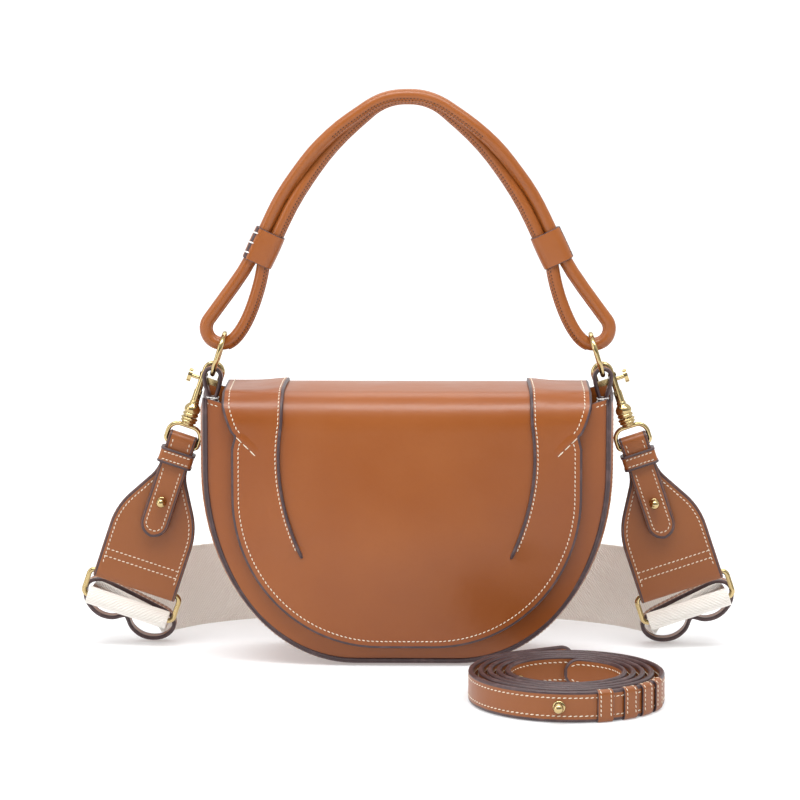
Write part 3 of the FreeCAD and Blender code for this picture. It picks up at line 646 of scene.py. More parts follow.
def carried(points: Sequence[Vector], ring: bool) -> list[tuple[Vector, Vector]]:
    """Two directions square to a path at each point, carried along without twist.

    Args:
        points: Points along the path.
        ring: True where the last point is the first.

    Returns:
        The pair of directions at each point.
    """
    last = len(points) - 1
    ways = []
    for number in range(last + 1):
        if ring:
            before, after = points[(number - 1) % last], points[(number + 1) % last]
        else:
            before, after = points[max(number - 1, 0)], points[min(number + 1, last)]
        ways.append((after - before).normalized())
    guide = vec(y=1.0)
    if abs(ways[0].dot(guide)) > 0.9:
        guide = vec(x=1.0)
    out = (guide - ways[0] * guide.dot(ways[0])).normalized()
    frames = []
    for way in ways:
        out = (out - way * out.dot(way)).normalized()
        frames.append((out, way.cross(out)))
    if ring:
        first, end = frames[0], frames[-1]
        slip = math.atan2(first[0].dot(end[1]), first[0].dot(end[0]))
        for number, (out, side) in enumerate(frames):
            turn = slip * number / last
            frames[number] = (
                out * math.cos(turn) + side * math.sin(turn),
                side * math.cos(turn) - out * math.sin(turn),
            )
    return frames


class Track:
    """A line that is read by its length."""

    def __init__(self, points: Sequence[Vector]) -> None:
        """Measure the line.

        Args:
            points: Points along it.
        """
        self.points = list(points)
        self.marks = [0.0]
        for before, after in zip(self.points, self.points[1:]):
            self.marks.append(self.marks[-1] + (after - before).length)
        self.length = self.marks[-1]

    def spot(self, reach: float) -> tuple[int, float]:
        """The run that holds a length, and the share of it.

        Args:
            reach: The length, held within the line's own.

        Returns:
            The run's number and the share.
        """
        reach = min(max(reach, 0.0), self.length)
        number = min(max(bisect_left(self.marks, reach) - 1, 0), len(self.points) - 2)
        return number, (reach - self.marks[number]) / (self.marks[number + 1] - self.marks[number])

    def at(self, reach: float) -> Vector:
        """The point at a length."""
        number, share = self.spot(reach)
        return self.points[number].lerp(self.points[number + 1], share)

    def way(self, reach: float) -> Vector:
        """The direction at a length."""
        number, _ = self.spot(reach)
        return (self.points[number + 1] - self.points[number]).normalized()


def soft_box(half_x: float, half_y: float, corner: float) -> Track:
    """A closed outline with round corners, counter-clockwise from the right side's top.

    Args:
        half_x: Half its width.
        half_y: Half its height.
        corner: Radius of the corners.

    Returns:
        The outline.
    """
    points = []
    for x, y, start in ((1, 1, 0.0), (-1, 1, 90.0), (-1, -1, 180.0), (1, -1, 270.0)):
        centre = vec(x * (half_x - corner), y * (half_y - corner))
        points += arc(centre, vec(x=corner), vec(y=corner), start, start + 90.0, 5)
    return Track(filled(points + points[:1], 3.0))


def ball_stud(ball: float, base: float, post: float) -> Line:
    """Half section of a ball stud's head on a surface at height nothing.

    Args:
        ball: Radius of the ball.
        base: Radius of its foot.
        post: Radius of the post between them.

    Returns:
        Radius and height of each corner.
    """
    profile = [(0.0, -0.2), (base, -0.2), (base, 0.3), (base - 0.35, 0.75), (base - 1.1, 0.95)]
    profile += [(post, 1.0), (post, 1.3)]
    centre = 0.9 + ball
    start = math.asin(min(1.0, post / ball))
    for turn in evenly(math.pi - start, 0.0, 14):
        profile.append((max(0.0, ball * math.sin(turn)), centre + ball * math.cos(turn)))
    return profile


def stud_back(base: float) -> Line:
    """Half section of a stud's screw back."""
    rim = [(0.0, -0.2), (base, -0.2), (base, 0.5), (base - 0.4, 0.9)]
    return rim + [(1.6, 1.0), (1.3, 0.7), (0.0, 0.7)]


def seated(point: Vector, axis: Vector) -> Matrix:
    """The place of a turned shape that stands on a point along an axis."""
    return Matrix.Translation(point) @ axis.to_track_quat("Z", "Y").to_matrix().to_4x4()


# Meshes


class Skin:
    """One piece's mesh in the making, in millimetres."""

    def __init__(self, name: str) -> None:
        """Start an empty mesh.

        Args:
            name: The finished piece's name.
        """
        self.name = name
        self.mesh = bmesh.new()
        self.map = self.mesh.loops.layers.uv.new("weave")

    def sheet(
        self,
        across: Sequence[float],
        along: Sequence[float],
        place: Place,
        flip: bool = False,
        paint: Callable[[float, float], int] | None = None,
    ) -> None:
        """Lay a grid over a surface.

        Args:
            across: Places of the columns.
            along: Places of the rows.
            place: The surface, from a column's and a row's place.
            flip: True to turn the faces round.
            paint: Material number of a face, from its middle column and row.
        """
        columns, rows = len(across) - 1, len(along) - 1
        grid = bmesh.ops.create_grid(self.mesh, x_segments=columns, y_segments=rows, size=0.5)
        spots = {}
        for vert in grid["verts"]:
            column, row = round((vert.co.x + 0.5) * columns), round((vert.co.y + 0.5) * rows)
            spots[vert] = (across[column], along[row])
            vert.co = place(*spots[vert])
        faces = list({face for vert in spots for face in vert.link_faces})
        for face in faces:
            for loop in face.loops:
                loop[self.map].uv = Vector(spots[loop.vert]) * MM
            if paint:
                middle = [sum(spots[vert][axis] for vert in face.verts) / 4 for axis in (0, 1)]
                face.material_index = paint(*middle)
        if flip:
            bmesh.ops.reverse_faces(self.mesh, faces=faces)

    def close(self) -> None:
        """Merge seams and drop slivers."""
        bmesh.ops.remove_doubles(self.mesh, verts=self.mesh.verts, dist=0.004)
        bmesh.ops.dissolve_degenerate(self.mesh, edges=self.mesh.edges, dist=0.002)

    def seal(self) -> None:
        """Merge seams, fill open ends and turn every face outwards."""
        self.close()
        rims = [edge for edge in self.mesh.edges if edge.is_boundary]
        bmesh.ops.holes_fill(self.mesh, edges=rims, sides=0)
        bmesh.ops.recalc_face_normals(self.mesh, faces=self.mesh.faces)

    def tube(
        self,
        path: Sequence[Vector],
        radius: Callable[[float], float],
        sides: int = 10,
        ring: bool = False,
    ) -> None:
        """Sweep a round bar along a path.

        Args:
            path: Points along its middle.
            radius: Radius from the share of the length.
            sides: Number of sides.
            ring: True where the path comes back to its start.
        """
        points = list(path)
        if ring:
            points.append(points[0])
        frames = carried(points, ring)
        last = len(points) - 1

        def place(turn: float, row: float) -> Vector:
            """A point of the bar by its turn and its row."""
            number = round(row)
            out, side = frames[number]
            size = radius(number / last)
            return points[number] + (out * math.cos(turn) + side * math.sin(turn)) * size

        self.sheet(evenly(0.0, 2 * math.pi, sides), numbers(last + 1), place, True)

    def lathe(self, profile: Line, seat: Matrix, steps: int = 32) -> None:
        """Spin a half section about the Z axis and seat it.

        Args:
            profile: Radius and height of each corner.
            seat: Where it goes.
            steps: Number of steps in the turn.
        """
        verts = [self.mesh.verts.new((radius, 0.0, height)) for radius, height in profile]
        edges = [self.mesh.edges.new(pair) for pair in zip(verts, verts[1:])]
        bmesh.ops.spin(
            self.mesh,
            geom=verts + edges,
            cent=(0.0, 0.0, 0.0),
            axis=(0.0, 0.0, 1.0),
            angle=2 * math.pi,
            steps=steps,
            use_merge=True,
        )
        new = [vert for vert in self.mesh.verts if not vert.tag]
        bmesh.ops.remove_doubles(self.mesh, verts=new, dist=0.002)
        faces = [face for face in self.mesh.faces if not face.tag]
        bmesh.ops.recalc_face_normals(self.mesh, faces=faces)
        new = [vert for vert in self.mesh.verts if not vert.tag]
        bmesh.ops.transform(self.mesh, matrix=seat, verts=new)
        for item in [*self.mesh.verts, *self.mesh.faces]:
            item.tag = True

    def finish(
        self,
        materials: Sequence[bpy.types.Material],
        wall: float = 0.0,
        grow: Grow = Grow.INWARD,
        edge: float = 0.0,
    ) -> bpy.types.Object:
        """Make the piece's object.

        Args:
            materials: Its materials, the second on cut edges.
            wall: Thickness to give a sheet.
            grow: Which way the thickness goes.
            edge: Round of the cut edges.

        Returns:
            The object.
        """
        bmesh.ops.scale(self.mesh, vec=(MM, MM, MM), verts=self.mesh.verts)
        for face in self.mesh.faces:
            face.smooth = True
        data = bpy.data.meshes.new(self.name)
        self.mesh.to_mesh(data)
        self.mesh.free()
        piece = bpy.data.objects.new(self.name, data)
        bpy.context.scene.collection.objects.link(piece)
        for material in materials:
            data.materials.append(material)
        painted = len(materials) > 1
        if wall:
            body = piece.modifiers.new("wall", "SOLIDIFY")
            body.thickness = wall * MM
            body.offset = grow.value
            body.use_even_offset = True
            body.material_offset_rim = 1 if painted else 0
        if edge:
            soft = piece.modifiers.new("edge", "BEVEL")
            soft.width = edge * MM
            soft.segments = 3
            soft.material = 1 if painted else -1
            soft.limit_method = "ANGLE"
            soft.angle_limit = math.radians(48.0)
            soft.harden_normals = True
            soft.use_clamp_overlap = True
        return piece


def beads(
    name: str,
    lines: Sequence[Sequence[Vector]],
    radius: float,
    material: bpy.types.Material,
    ring: bool = True,
    sides: int = 10,
) -> bpy.types.Object:
    """Make round beads along lines, such as painted edges, as one piece.

    Args:
        name: The piece's name.
        lines: Points along the middle of each bead.
        radius: The beads' radius.
        material: Their finish.
        ring: True where the lines come back to their start.
        sides: Number of sides.

    Returns:
        The piece.
    """
    skin = Skin(name)
    for line in lines:
        skin.tube(line, lambda share: radius, sides, ring)
    skin.seal()
    return skin.finish([material])


def hoop(
    name: str,
    across: Sequence[float],
    ring: Track,
    place: Callable[[Vector, float], Vector],
    flip: bool,
) -> Skin:
    """Lay a closed band round an outline.

    Args:
        name: The piece's name.
        across: Places of the columns.
        ring: The outline.
        place: The surface, from an outline's point and a column's place.
        flip: True to turn the faces round.

    Returns:
        The band's mesh.
    """
    skin = Skin(name)

    def spot(level: float, reach: float) -> Vector:
        """A point of the band by its column and its reach."""
        return place(ring.at(reach % ring.length), level)

    skin.sheet(across, ring.marks, spot, flip)
    skin.close()
    return skin


@dataclass
class Stitching:
    """Rows of saddle stitches gathered in one piece."""

    name: str
    pitch: float = 2.6
    length: float = 1.85
    width: float = 0.66
    height: float = 0.5
    slant: float = 9.0

    def __post_init__(self) -> None:
        """Start with no stitches."""
        self.seats: list[Matrix] = []

    def row(self, seam: Seam, turn: float = 1.0) -> None:
        """Sew along a seam.

        Args:
            seam: Points of the seam and the surface's direction at each.
            turn: Way the stitches slant.
        """
        track = Track([point for point, _ in seam])
        count = max(1, round(track.length / self.pitch))
        for number in range(count):
            reach = (number + 0.5) * track.length / count
            spot, share = track.spot(reach)
            normal = seam[spot][1].lerp(seam[spot + 1][1], share).normalized()
            self.stitch(track.at(reach), track.way(reach), normal, turn)

    def stitch(self, point: Vector, way: Vector, normal: Vector, turn: float = 1.0) -> None:
        """Set one stitch on a surface.

        Args:
            point: Its middle.
            way: The direction it runs in.
            normal: The surface's direction.
            turn: Way the stitch slants.
        """
        side = normal.cross(way).normalized()
        way = side.cross(normal).normalized()
        lean = math.radians(self.slant) * turn
        run = way * math.cos(lean) + side * math.sin(lean)
        cross = normal.cross(run)
        half = (run * self.length / 2, cross * self.width / 2, normal * self.height / 2)
        seat = Matrix.Translation(point) @ Matrix(half).transposed().to_4x4()
        self.seats.append(seat @ LAID)

    def finish(self, thread: bpy.types.Material) -> bpy.types.Object:
        """Make the thread's object from copies of one stitch.

        Args:
            thread: The thread's finish.

        Returns:
            The object.
        """
        skin = Skin(self.name)
        bmesh.ops.create_uvsphere(skin.mesh, u_segments=6, v_segments=5, radius=1.0)
        copies = [list(skin.mesh.verts)]
        shape = [vert.co.copy() for vert in copies[0]]
        while len(copies) < len(self.seats):
            source = copies[: len(self.seats) - len(copies)]
            verts = {vert for copy in source for vert in copy}
            faces = {face for vert in verts for face in vert.link_faces}
            twins = bmesh.ops.duplicate(skin.mesh, geom=list(faces))["vert_map"]
            copies += [[twins[vert] for vert in copy] for copy in source]
        for copy, seat in zip(copies, self.seats):
            for vert, corner in zip(copy, shape):
                vert.co = seat @ corner
        return skin.finish([thread])


def settle(piece: bpy.types.Object, body: str, slot: str, *nodes: str) -> None:
    """Ride a piece on a body, and put it in place of CAD nodes.

    Args:
        piece: The finished piece.
        body: The body that carries it.
        slot: The record's material slot; not used.
        nodes: CAD nodes that it stands for.
    """
    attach(piece, body)
    if nodes:
        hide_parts(*nodes)
    LOG.info("%s rides on %s", piece.name, body)


# Body


@dataclass(frozen=True)
class HalfMoon:
    """The outline of a panel: flat foot, round sides, straight upper sides."""

    half: float
    foot: float = 0.0
    rise: float = 115.0
    flat: float = 30.0

    def width(self, height: float) -> float:
        """Half width at a height."""
        if height >= self.rise:
            return self.half
        share = 1 - max(0.0, (height - self.foot) / (self.rise - self.foot))
        return self.flat + (self.half - self.flat) * math.sqrt(max(0.0, 1 - share * share))

    def rows(self, count: int) -> list[float]:
        """Heights up the round side, closest together where it is flattest."""
        turns = evenly(0.0, math.pi / 2, count)
        return [self.foot + (self.rise - self.foot) * (1 - math.cos(turn)) for turn in turns]

    def round(self, top: float, count: int) -> Line:
        """The whole outline from the left top, round the foot, to the right top.

        Args:
            top: Height where the sides end.
            count: Number of steps up each round side.

        Returns:
            The x and height of each point.
        """
        heights = self.rows(count) + evenly(self.rise, top, 5)[1:]
        right = [(self.width(height), height) for height in heights]
        left = [(-x, z) for x, z in reversed(right)]
        return left + [(x, self.foot) for x in evenly(-self.flat, self.flat, 6)[1:-1]] + right


@dataclass
class Body:
    """The bag's box: two panels with painted rims, the gusset and the linings."""

    finishes: Finishes
    depth: float = 70.0
    leather: float = 2.2
    gusset_leather: float = 2.0
    cloth: float = 0.8
    front: HalfMoon = HalfMoon(120.0)
    back: HalfMoon = HalfMoon(123.0)
    lining: HalfMoon = HalfMoon(115.2, 2.6)
    lining_swell: float = 0.97
    panel_under: float = 0.8
    rim_width: float = 3.0
    rim_drop: float = 1.0
    rim_foot: float = 0.8
    rim_proud: float = 0.5
    rim_profile: Pairs = (
        (0.0, 3.4), (0.0, 0.9), (0.07, 0.3), (0.2, 0.0), (0.4, 0.05), (0.49, 0.45),
        (0.58, 0.05), (0.8, 0.0), (0.94, 0.3), (1.0, 1.0), (1.0, 3.0),
    )
    top: float = 158.0
    top_code: float = 1000.0
    ear_foot: float = 154.0
    ear_half: float = 107.0
    ear_seam: float = 2.6
    rim: float = 144.0
    gusset_top: float = 148.5
    gusset_inset: float = 1.0
    gusset_shares: tuple[float, ...] = (0.0, 0.03, 0.06, 0.1, 0.14)
    corner_rise: float = 8.5
    corner_power: float = 7.0
    corner_share: float = 0.13
    flare: float = 2.2
    crown: float = 4.6
    crown_half: float = 116.0
    crown_power: float = 2.4
    crown_rise: float = 0.9
    sag: float = 1.8
    sag_ease: float = 40.0
    seam_back: float = 4.2

    def swell(self, x: float, z: float) -> float:
        """How far a panel stands out from its seam's plane."""
        across = max(0.0, 1 - (abs(x) / self.crown_half) ** self.crown_power)
        up = math.sin(math.pi * min(1.0, max(0.0, z / self.top))) ** self.crown_rise
        return self.crown * across * up

    def lip(self, x: float, half: float) -> float:
        """Height of a panel's top edge."""
        if abs(x) < self.ear_half - 0.5:
            return self.rim
        rise = self.top - self.ear_foot
        return self.ear_foot + rise * (abs(x) - self.ear_half) / (half - self.ear_half)

    def panel_point(self, way: int, x: float, z: float) -> Vector:
        """A point of a panel's outer face."""
        return vec(x, way * (self.depth / 2 - self.rim_drop + self.swell(x, z)), z)

    def drawn_in(self, moon: HalfMoon, inset: float) -> HalfMoon:
        """A panel's outline, drawn in all round."""
        return HalfMoon(moon.half - inset, inset - self.rim_foot, moon.rise, moon.flat)

    def panel(self, name: str, moon: HalfMoon, way: int) -> bpy.types.Object:
        """Build the front or the back panel.

        Args:
            name: The piece's name.
            moon: The panel's outline.
            way: Minus one for the front, one for the back.

        Returns:
            The piece.
        """
        skin = Skin(name)
        inner = self.drawn_in(moon, self.flare + self.rim_width - self.panel_under)
        ear = self.ear_half / inner.half
        across = evenly(-ear, ear, 40)
        for side in SIDES:
            across += [side * (ear + 0.006), side * 0.96, side * 1.0]
        codes = [inner.rise + self.top_code * share for share in evenly(0.0, 1.0, 7)[1:]]

        def place(share: float, row: float) -> Vector:
            """A point by its share of the width, and its height or its code above the sides."""
            if row <= inner.rise:
                return self.panel_point(way, share * inner.width(row), row)
            x = share * inner.half
            rise = self.lip(x, moon.half) - inner.rise
            return self.panel_point(way, x, inner.rise + rise * (row - inner.rise) / self.top_code)

        skin.sheet(sorted(across), inner.rows(16) + codes, place, way > 0)
        return skin.finish(self.finishes.cut_body, self.leather, Grow.INWARD, 0.6)

    def rim_piece(self, name: str, moon: HalfMoon, way: int) -> bpy.types.Object:
        """Build the sewn rim: two painted leather edges side by side that face outwards.

        Args:
            name: The piece's name.
            moon: The panel's outline.
            way: Minus one for the front, one for the back.

        Returns:
            The piece.
        """
        skin = Skin(name)
        outer = self.drawn_in(moon, self.flare).round(self.top - 0.5, 26)
        inner = self.drawn_in(moon, self.flare + self.rim_width).round(self.top - 1.6, 26)
        face = self.depth / 2 + self.rim_proud

        def place(code: float, row: float) -> Vector:
            """A point by its number in the section and along the rim."""
            share, drop = self.rim_profile[round(code)]
            near, far = inner[round(row)], outer[round(row)]
            x = near[0] + (far[0] - near[0]) * share
            z = near[1] + (far[1] - near[1]) * share
            return vec(x, way * (face - drop), z)

        skin.sheet(numbers(len(self.rim_profile)), numbers(len(outer)), place, way < 0)
        skin.seal()
        return skin.finish([self.finishes.edge])

    def side_line(self, share: float) -> Line:
        """The gusset's outline at a share of the depth.

        Args:
            share: The share, the front being nothing.

        Returns:
            The x and height of each point.
        """
        height = self.gusset_top + self.corner_rise * abs(2 * share - 1) ** self.corner_power
        pull = self.sag * (1 - (2 * share - 1) ** 2)
        edge = max(0.0, 1 - min(share, 1 - share) / self.corner_share) ** 2
        rim = self.drawn_in(self.front if share < 0.5 else self.back, self.flare)
        full = HalfMoon(self.front.half + (self.back.half - self.front.half) * share)
        line = []
        for near, far in zip(full.round(height, 20), rim.round(height, 20)):
            x = near[0] + (far[0] - near[0]) * edge
            z = near[1] + (far[1] - near[1]) * edge
            ease = min(1.0, z / self.sag_ease)
            line.append((x - math.copysign(pull * ease, x), z))
        return line

    def gusset(self) -> bpy.types.Object:
        """Build the strip between the rims.

        Returns:
            The piece.
        """
        skin = Skin("gusset_leather")
        half = self.depth / 2 - self.gusset_inset
        shares = [*self.gusset_shares, *evenly(0.2, 0.8, 9), 0.86, 0.9, 0.94, 0.97, 1.0]
        lines = {share: self.side_line(share) for share in shares}

        def place(share: float, row: float) -> Vector:
            """A point by its share of the depth and its number in the outline."""
            x, z = lines[share][round(row)]
            return vec(x, -half + 2 * half * share, z)

        skin.sheet(shares, numbers(len(lines[0.0])), place)
        return skin.finish(self.finishes.cut_body, self.gusset_leather, Grow.INWARD, 0.5)

    def linings(self) -> None:
        """Build the cloth inside."""
        inner = self.depth / 2 - self.leather - self.rim_drop
        for name, way in (("front_lining", -1), ("back_lining", 1)):
            skin = Skin(name + "_cloth")
            heights = self.lining.rows(14) + evenly(self.lining.rise, self.rim - 1.0, 4)[1:]

            def place(share: float, row: float) -> Vector:
                """A point by its share of the width and its height."""
                x = share * self.lining.width(row)
                return vec(x, way * (inner - 0.5 + self.swell(x, row) * self.lining_swell), row)

            skin.sheet(evenly(-1.0, 1.0, 24), heights, place, way < 0)
            piece = skin.finish([self.finishes.lining], self.cloth, Grow.BOTH)
            settle(piece, "bag", "lining", name)
        skin = Skin("gusset_lining_cloth")
        ways = self.lining.round(self.gusset_top - 1.0, 18)

        def strip(y: float, row: float) -> Vector:
            """A point of the strip by its depth and its number in the outline."""
            x, z = ways[round(row)]
            return vec(x, y, z)

        skin.sheet(evenly(-inner + 1.0, inner - 1.0, 10), numbers(len(ways)), strip)
        piece = skin.finish([self.finishes.lining], self.cloth, Grow.INWARD)
        settle(piece, "bag", "lining", "gusset_lining")

    def gusset_seam(self, way: int) -> Seam:
        """The seam beside a rim, along the gusset.

        Args:
            way: Minus one for the front, one for the back.

        Returns:
            The seam.
        """
        half = self.depth / 2 - self.gusset_inset
        line = self.side_line((1 + way * (1 - self.seam_back / half)) / 2)
        seam = []
        for before, here, after in zip(line[:1] + line, line, line[1:] + line[-1:]):
            run = vec(after[0] - before[0], 0.0, after[1] - before[1])
            out = vec(run.z, 0.0, -run.x).normalized()
            point = vec(here[0], way * (half - self.seam_back), here[1])
            # The foot's stitches stand a little higher, clear of the ground.
            seam.append((point + out * 0.05 + vec(z=0.25 if here[1] < 2 else 0.0), out))
        return seam

    def seams(self) -> None:
        """Sew the gusset to both rims and the panels' upper corners."""
        thread = Stitching("body_stitching")
        for way, moon in ((-1, self.front), (1, self.back)):
            thread.row(self.gusset_seam(way), way)
            for side in SIDES:
                ear = []
                for reach in evenly(0.12, 0.72, 4):
                    x = self.ear_half + (moon.half - self.ear_half) * reach
                    z = self.lip(x, moon.half) - self.ear_seam
                    ear.append((self.panel_point(way, side * x, z), vec(y=way)))
                thread.row(ear, side)
        settle(thread.finish(self.finishes.thread), "bag", "bag_leather")

    def build(self) -> None:
        """Build the whole body."""
        settle(self.panel("front_body_panel", self.front, -1), "bag", "bag_leather", "front_panel")
        settle(self.panel("back_body_panel", self.back, 1), "bag", "bag_leather", "back_panel")
        settle(self.rim_piece("front_rim", self.front, -1), "bag", "bag_leather")
        settle(self.rim_piece("back_rim", self.back, 1), "bag", "bag_leather")
        settle(self.gusset(), "bag", "bag_leather", "gusset")
        self.linings()
        self.seams()


# Flap


@dataclass
class Flap:
    """The flap in one piece from the back panel over the top to the front."""

    finishes: Finishes
    body: Body
    leather: float = 2.2
    lining: float = 0.9
    lining_inset: float = 3.2
    lining_lap: float = 0.7
    front_y: float = -38.5
    back_y: float = 38.1
    top: float = 159.8
    bend: float = 17.0
    top_pleat: float = 70.2
    half: float = 105.5
    lower_half: float = 100.0
    lower_rise: float = 100.0
    bottom: float = 12.5
    flat_half: float = 16.0
    ear_low: float = 152.0
    ear_slope: float = 0.62
    ear_round: float = 0.38
    notch_height: float = 134.2
    notch_half: float = 98.4
    notch_gap: float = 1.6
    notch_ease: float = 6.0
    back_low: float = 116.0
    back_corner: float = 24.0
    pleat: Pairs = ((163.0, 66.8), (122.0, 73.3), (66.0, 60.0))
    pleat_tip: float = 66.0
    pleat_ease: float = 7.0
    lap: float = 1.9
    lap_reach: float = 11.0
    lap_rest: float = 0.25
    step: float = 1.1
    bead: float = 1.2
    seam_inset: float = 3.0
    seam_step: float = 4.0
    pleat_inset: float = 2.3
    dart_length: float = 16.5
    dart_width: float = 5.0
    dart_angle: float = 46.0
    dart_rise: float = 1.2
    dart_fold: float = 0.55
    room: float = 2.6
    room_half: float = 62.0
    room_height: float = 66.0
    room_rise: float = 40.0
    front_swell: float = 1.12
    front_ease: float = 30.0
    top_swell: float = 1.3
    back_swell: float = 1.1
    back_ease: float = 20.0
    magnet_height: float = 52.0
    magnet_radius: float = 7.0

    def __post_init__(self) -> None:
        """Work out the lengths of the flap's run over the top."""
        self.rim = self.top - self.bend
        quarter = self.bend * math.pi / 2
        self.marks = [0.0, self.rim - self.back_low]
        self.marks.append(self.marks[-1] + quarter)
        self.marks.append(self.marks[-1] + self.back_y - self.front_y - 2 * self.bend)
        self.marks.append(self.marks[-1] + quarter)
        self.marks.append(self.marks[-1] + self.rim - self.bottom)

    def run(self, reach: float) -> tuple[Vector, Vector]:
        """Point and outward direction of the middle line.

        Args:
            reach: Length from the back edge.

        Returns:
            The point and the direction.
        """
        if reach <= self.marks[1]:
            return vec(0.0, self.back_y, self.back_low + reach), vec(y=1.0)
        if reach <= self.marks[2]:
            turn = (reach - self.marks[1]) / self.bend
            out = vec(0.0, math.cos(turn), math.sin(turn))
            return vec(0.0, self.back_y - self.bend, self.rim) + out * self.bend, out
        if reach <= self.marks[3]:
            y = self.back_y - self.bend - (reach - self.marks[2])
            return vec(0.0, y, self.top), vec(z=1.0)
        if reach <= self.marks[4]:
            turn = (reach - self.marks[3]) / self.bend
            out = vec(0.0, -math.sin(turn), math.cos(turn))
            return vec(0.0, self.front_y + self.bend, self.rim) + out * self.bend, out
        return vec(0.0, self.front_y, self.rim - (reach - self.marks[4])), vec(y=-1.0)

    def reach_of(self, height: float) -> float:
        """The length at a height of the front face or the front bend."""
        if height <= self.rim:
            return self.marks[4] + self.rim - height
        return self.marks[4] - self.bend * math.asin(min(1.0, (height - self.rim) / self.bend))

    def width(self, reach: float) -> float:
        """Half width of the flap.

        Args:
            reach: Length from the back edge.

        Returns:
            The half width in millimetres.
        """
        z = self.run(reach)[0].z
        if reach < self.marks[2]:
            share = max(0.0, (self.back_low + self.back_corner - z) / self.back_corner)
            return self.half - self.back_corner * (1 - math.sqrt(max(0.0, 1 - share * share)))
        if reach < self.marks[3] or z >= self.ear_low:
            return self.half
        upper = self.notch_height + self.notch_gap
        if z >= upper:
            share = (z - upper) / (self.ear_low - upper)
            curve = self.ear_slope * share + self.ear_round * math.sqrt(1 - (1 - share) ** 2)
            return self.notch_half + (self.half - self.notch_half) * curve
        if z >= self.notch_height:
            return self.notch_half
        if z >= self.notch_height - self.notch_ease:
            share = (self.notch_height - z) / self.notch_ease
            return self.notch_half + (self.lower_half - self.notch_half) * share
        if z >= self.lower_rise:
            return self.lower_half
        share = 1 - max(0.0, (z - self.bottom) / (self.lower_rise - self.bottom))
        curve = math.sqrt(max(0.0, 1 - share * share))
        return self.flat_half + (self.lower_half - self.flat_half) * curve

    def pleat_half(self, reach: float) -> float:
        """Half width of the flap's middle, between the pleats.

        Args:
            reach: Length from the back edge.

        Returns:
            The half width in millimetres.
        """
        if reach < self.marks[4]:
            share = max(0.0, (reach - self.marks[2]) / (self.marks[4] - self.marks[2]))
            return self.top_pleat + (self.pleat_half(self.marks[4]) - self.top_pleat) * share
        height = self.run(reach)[0].z
        z = max(height, self.pleat_tip)
        total = 0.0
        for number, (own, half) in enumerate(self.pleat):
            weight = 1.0
            for other, (level, _) in enumerate(self.pleat):
                if other != number:
                    weight *= (z - level) / (own - level)
            total += weight * half
        if height < self.pleat_tip:
            total *= self.width(reach) / self.width(self.reach_of(self.pleat_tip))
        return total

    def lap_share(self, reach: float) -> float:
        """How much of the side's lap stands at a length, from nothing to one."""
        if reach > self.marks[4]:
            rise = (self.run(reach)[0].z - self.pleat_tip) / self.pleat_ease
            return min(1.0, max(0.0, rise)) ** 0.6
        return min(1.0, max(0.0, (reach - self.marks[1]) / (self.marks[2] - self.marks[1])))

    def lap_fall(self, x: float, reach: float) -> float:
        """How the side's lap falls away from the pleat, nothing on the middle part."""
        beyond = abs(x) - self.pleat_half(reach)
        if beyond <= 0.0:
            return 0.0
        return self.lap_rest + (1 - self.lap_rest) * math.exp(-((beyond / self.lap_reach) ** 2))

    def fullness(self, x: float, z: float) -> float:
        """How far the front stands out: the panel under it and the room its pleats give."""
        up = (z - self.room_height) / self.room_rise
        room = math.exp(-((x / self.room_half) ** 2 + up**2))
        return self.front_swell * self.body.swell(x, z) + self.room * room

    def lift(self, x: float, reach: float) -> float:
        """How far the outer face stands over the plain run.

        Args:
            x: Distance from the middle.
            reach: Length from the back edge.

        Returns:
            The height in millimetres.
        """
        z = self.run(reach)[0].z
        if reach > self.marks[3]:
            ease = min(1.0, (reach - self.marks[3]) / self.front_ease)
            over = self.fullness(x, z) * ease
        elif reach > self.marks[2]:
            share = (reach - self.marks[2]) / (self.marks[3] - self.marks[2])
            across = max(0.0, 1 - (x / self.half) ** 2)
            over = self.top_swell * math.sin(math.pi * share) * across
        else:
            ease = min(1.0, (self.marks[2] - reach) / self.back_ease)
            over = self.back_swell * self.body.swell(x, z) * ease
        return over + self.lap * self.lap_share(reach) * self.lap_fall(x, reach)

    def point(self, x: float, reach: float, under: float = 0.0) -> Vector:
        """A point of the flap's outer face, or of a layer under it."""
        point, out = self.run(reach)
        spot = point + out * (self.lift(x, reach) - under)
        spot.x = x
        return spot

    def facing(self, x: float, reach: float) -> Vector:
        """Outward direction of the outer face."""
        nudge = 0.6
        across = self.point(x + nudge, reach) - self.point(x - nudge, reach)
        along = self.point(x, reach + nudge) - self.point(x, reach - nudge)
        return along.cross(across).normalized()

    def rows(self) -> list[float]:
        """Lengths of the mesh's rows.

        Returns:
            The lengths from the back edge.
        """
        quarter = math.pi / 2
        rows = [self.back_corner * (1 - math.cos(turn)) for turn in evenly(0.0, quarter, 6)]
        rows += evenly(self.back_corner, self.marks[1], 2)[1:]
        for start, end, count in zip(self.marks[1:4], self.marks[2:5], (6, 12, 8)):
            rows += evenly(start, end, count)[1:]
        upper = self.notch_height + self.notch_gap
        lower = self.notch_height - self.notch_gap
        heights = evenly(self.rim, upper, 5)[1:] + [self.notch_height, lower]
        heights += evenly(lower, self.lower_rise, 7)[1:]
        span = self.lower_rise - self.bottom
        turns = evenly(0.0, quarter, 24)[1:]
        heights += [self.bottom + span * (1 - math.sin(turn)) for turn in turns]
        return rows + [self.reach_of(height) for height in heights]

    def columns(self, middle: int, sides: int) -> list[float]:
        """Codes of the mesh's columns, from a number of steps in the middle and on a side."""
        side = evenly(1.0, 2.0, sides)
        return [-code for code in reversed(side)] + evenly(-0.999, 0.999, middle) + side

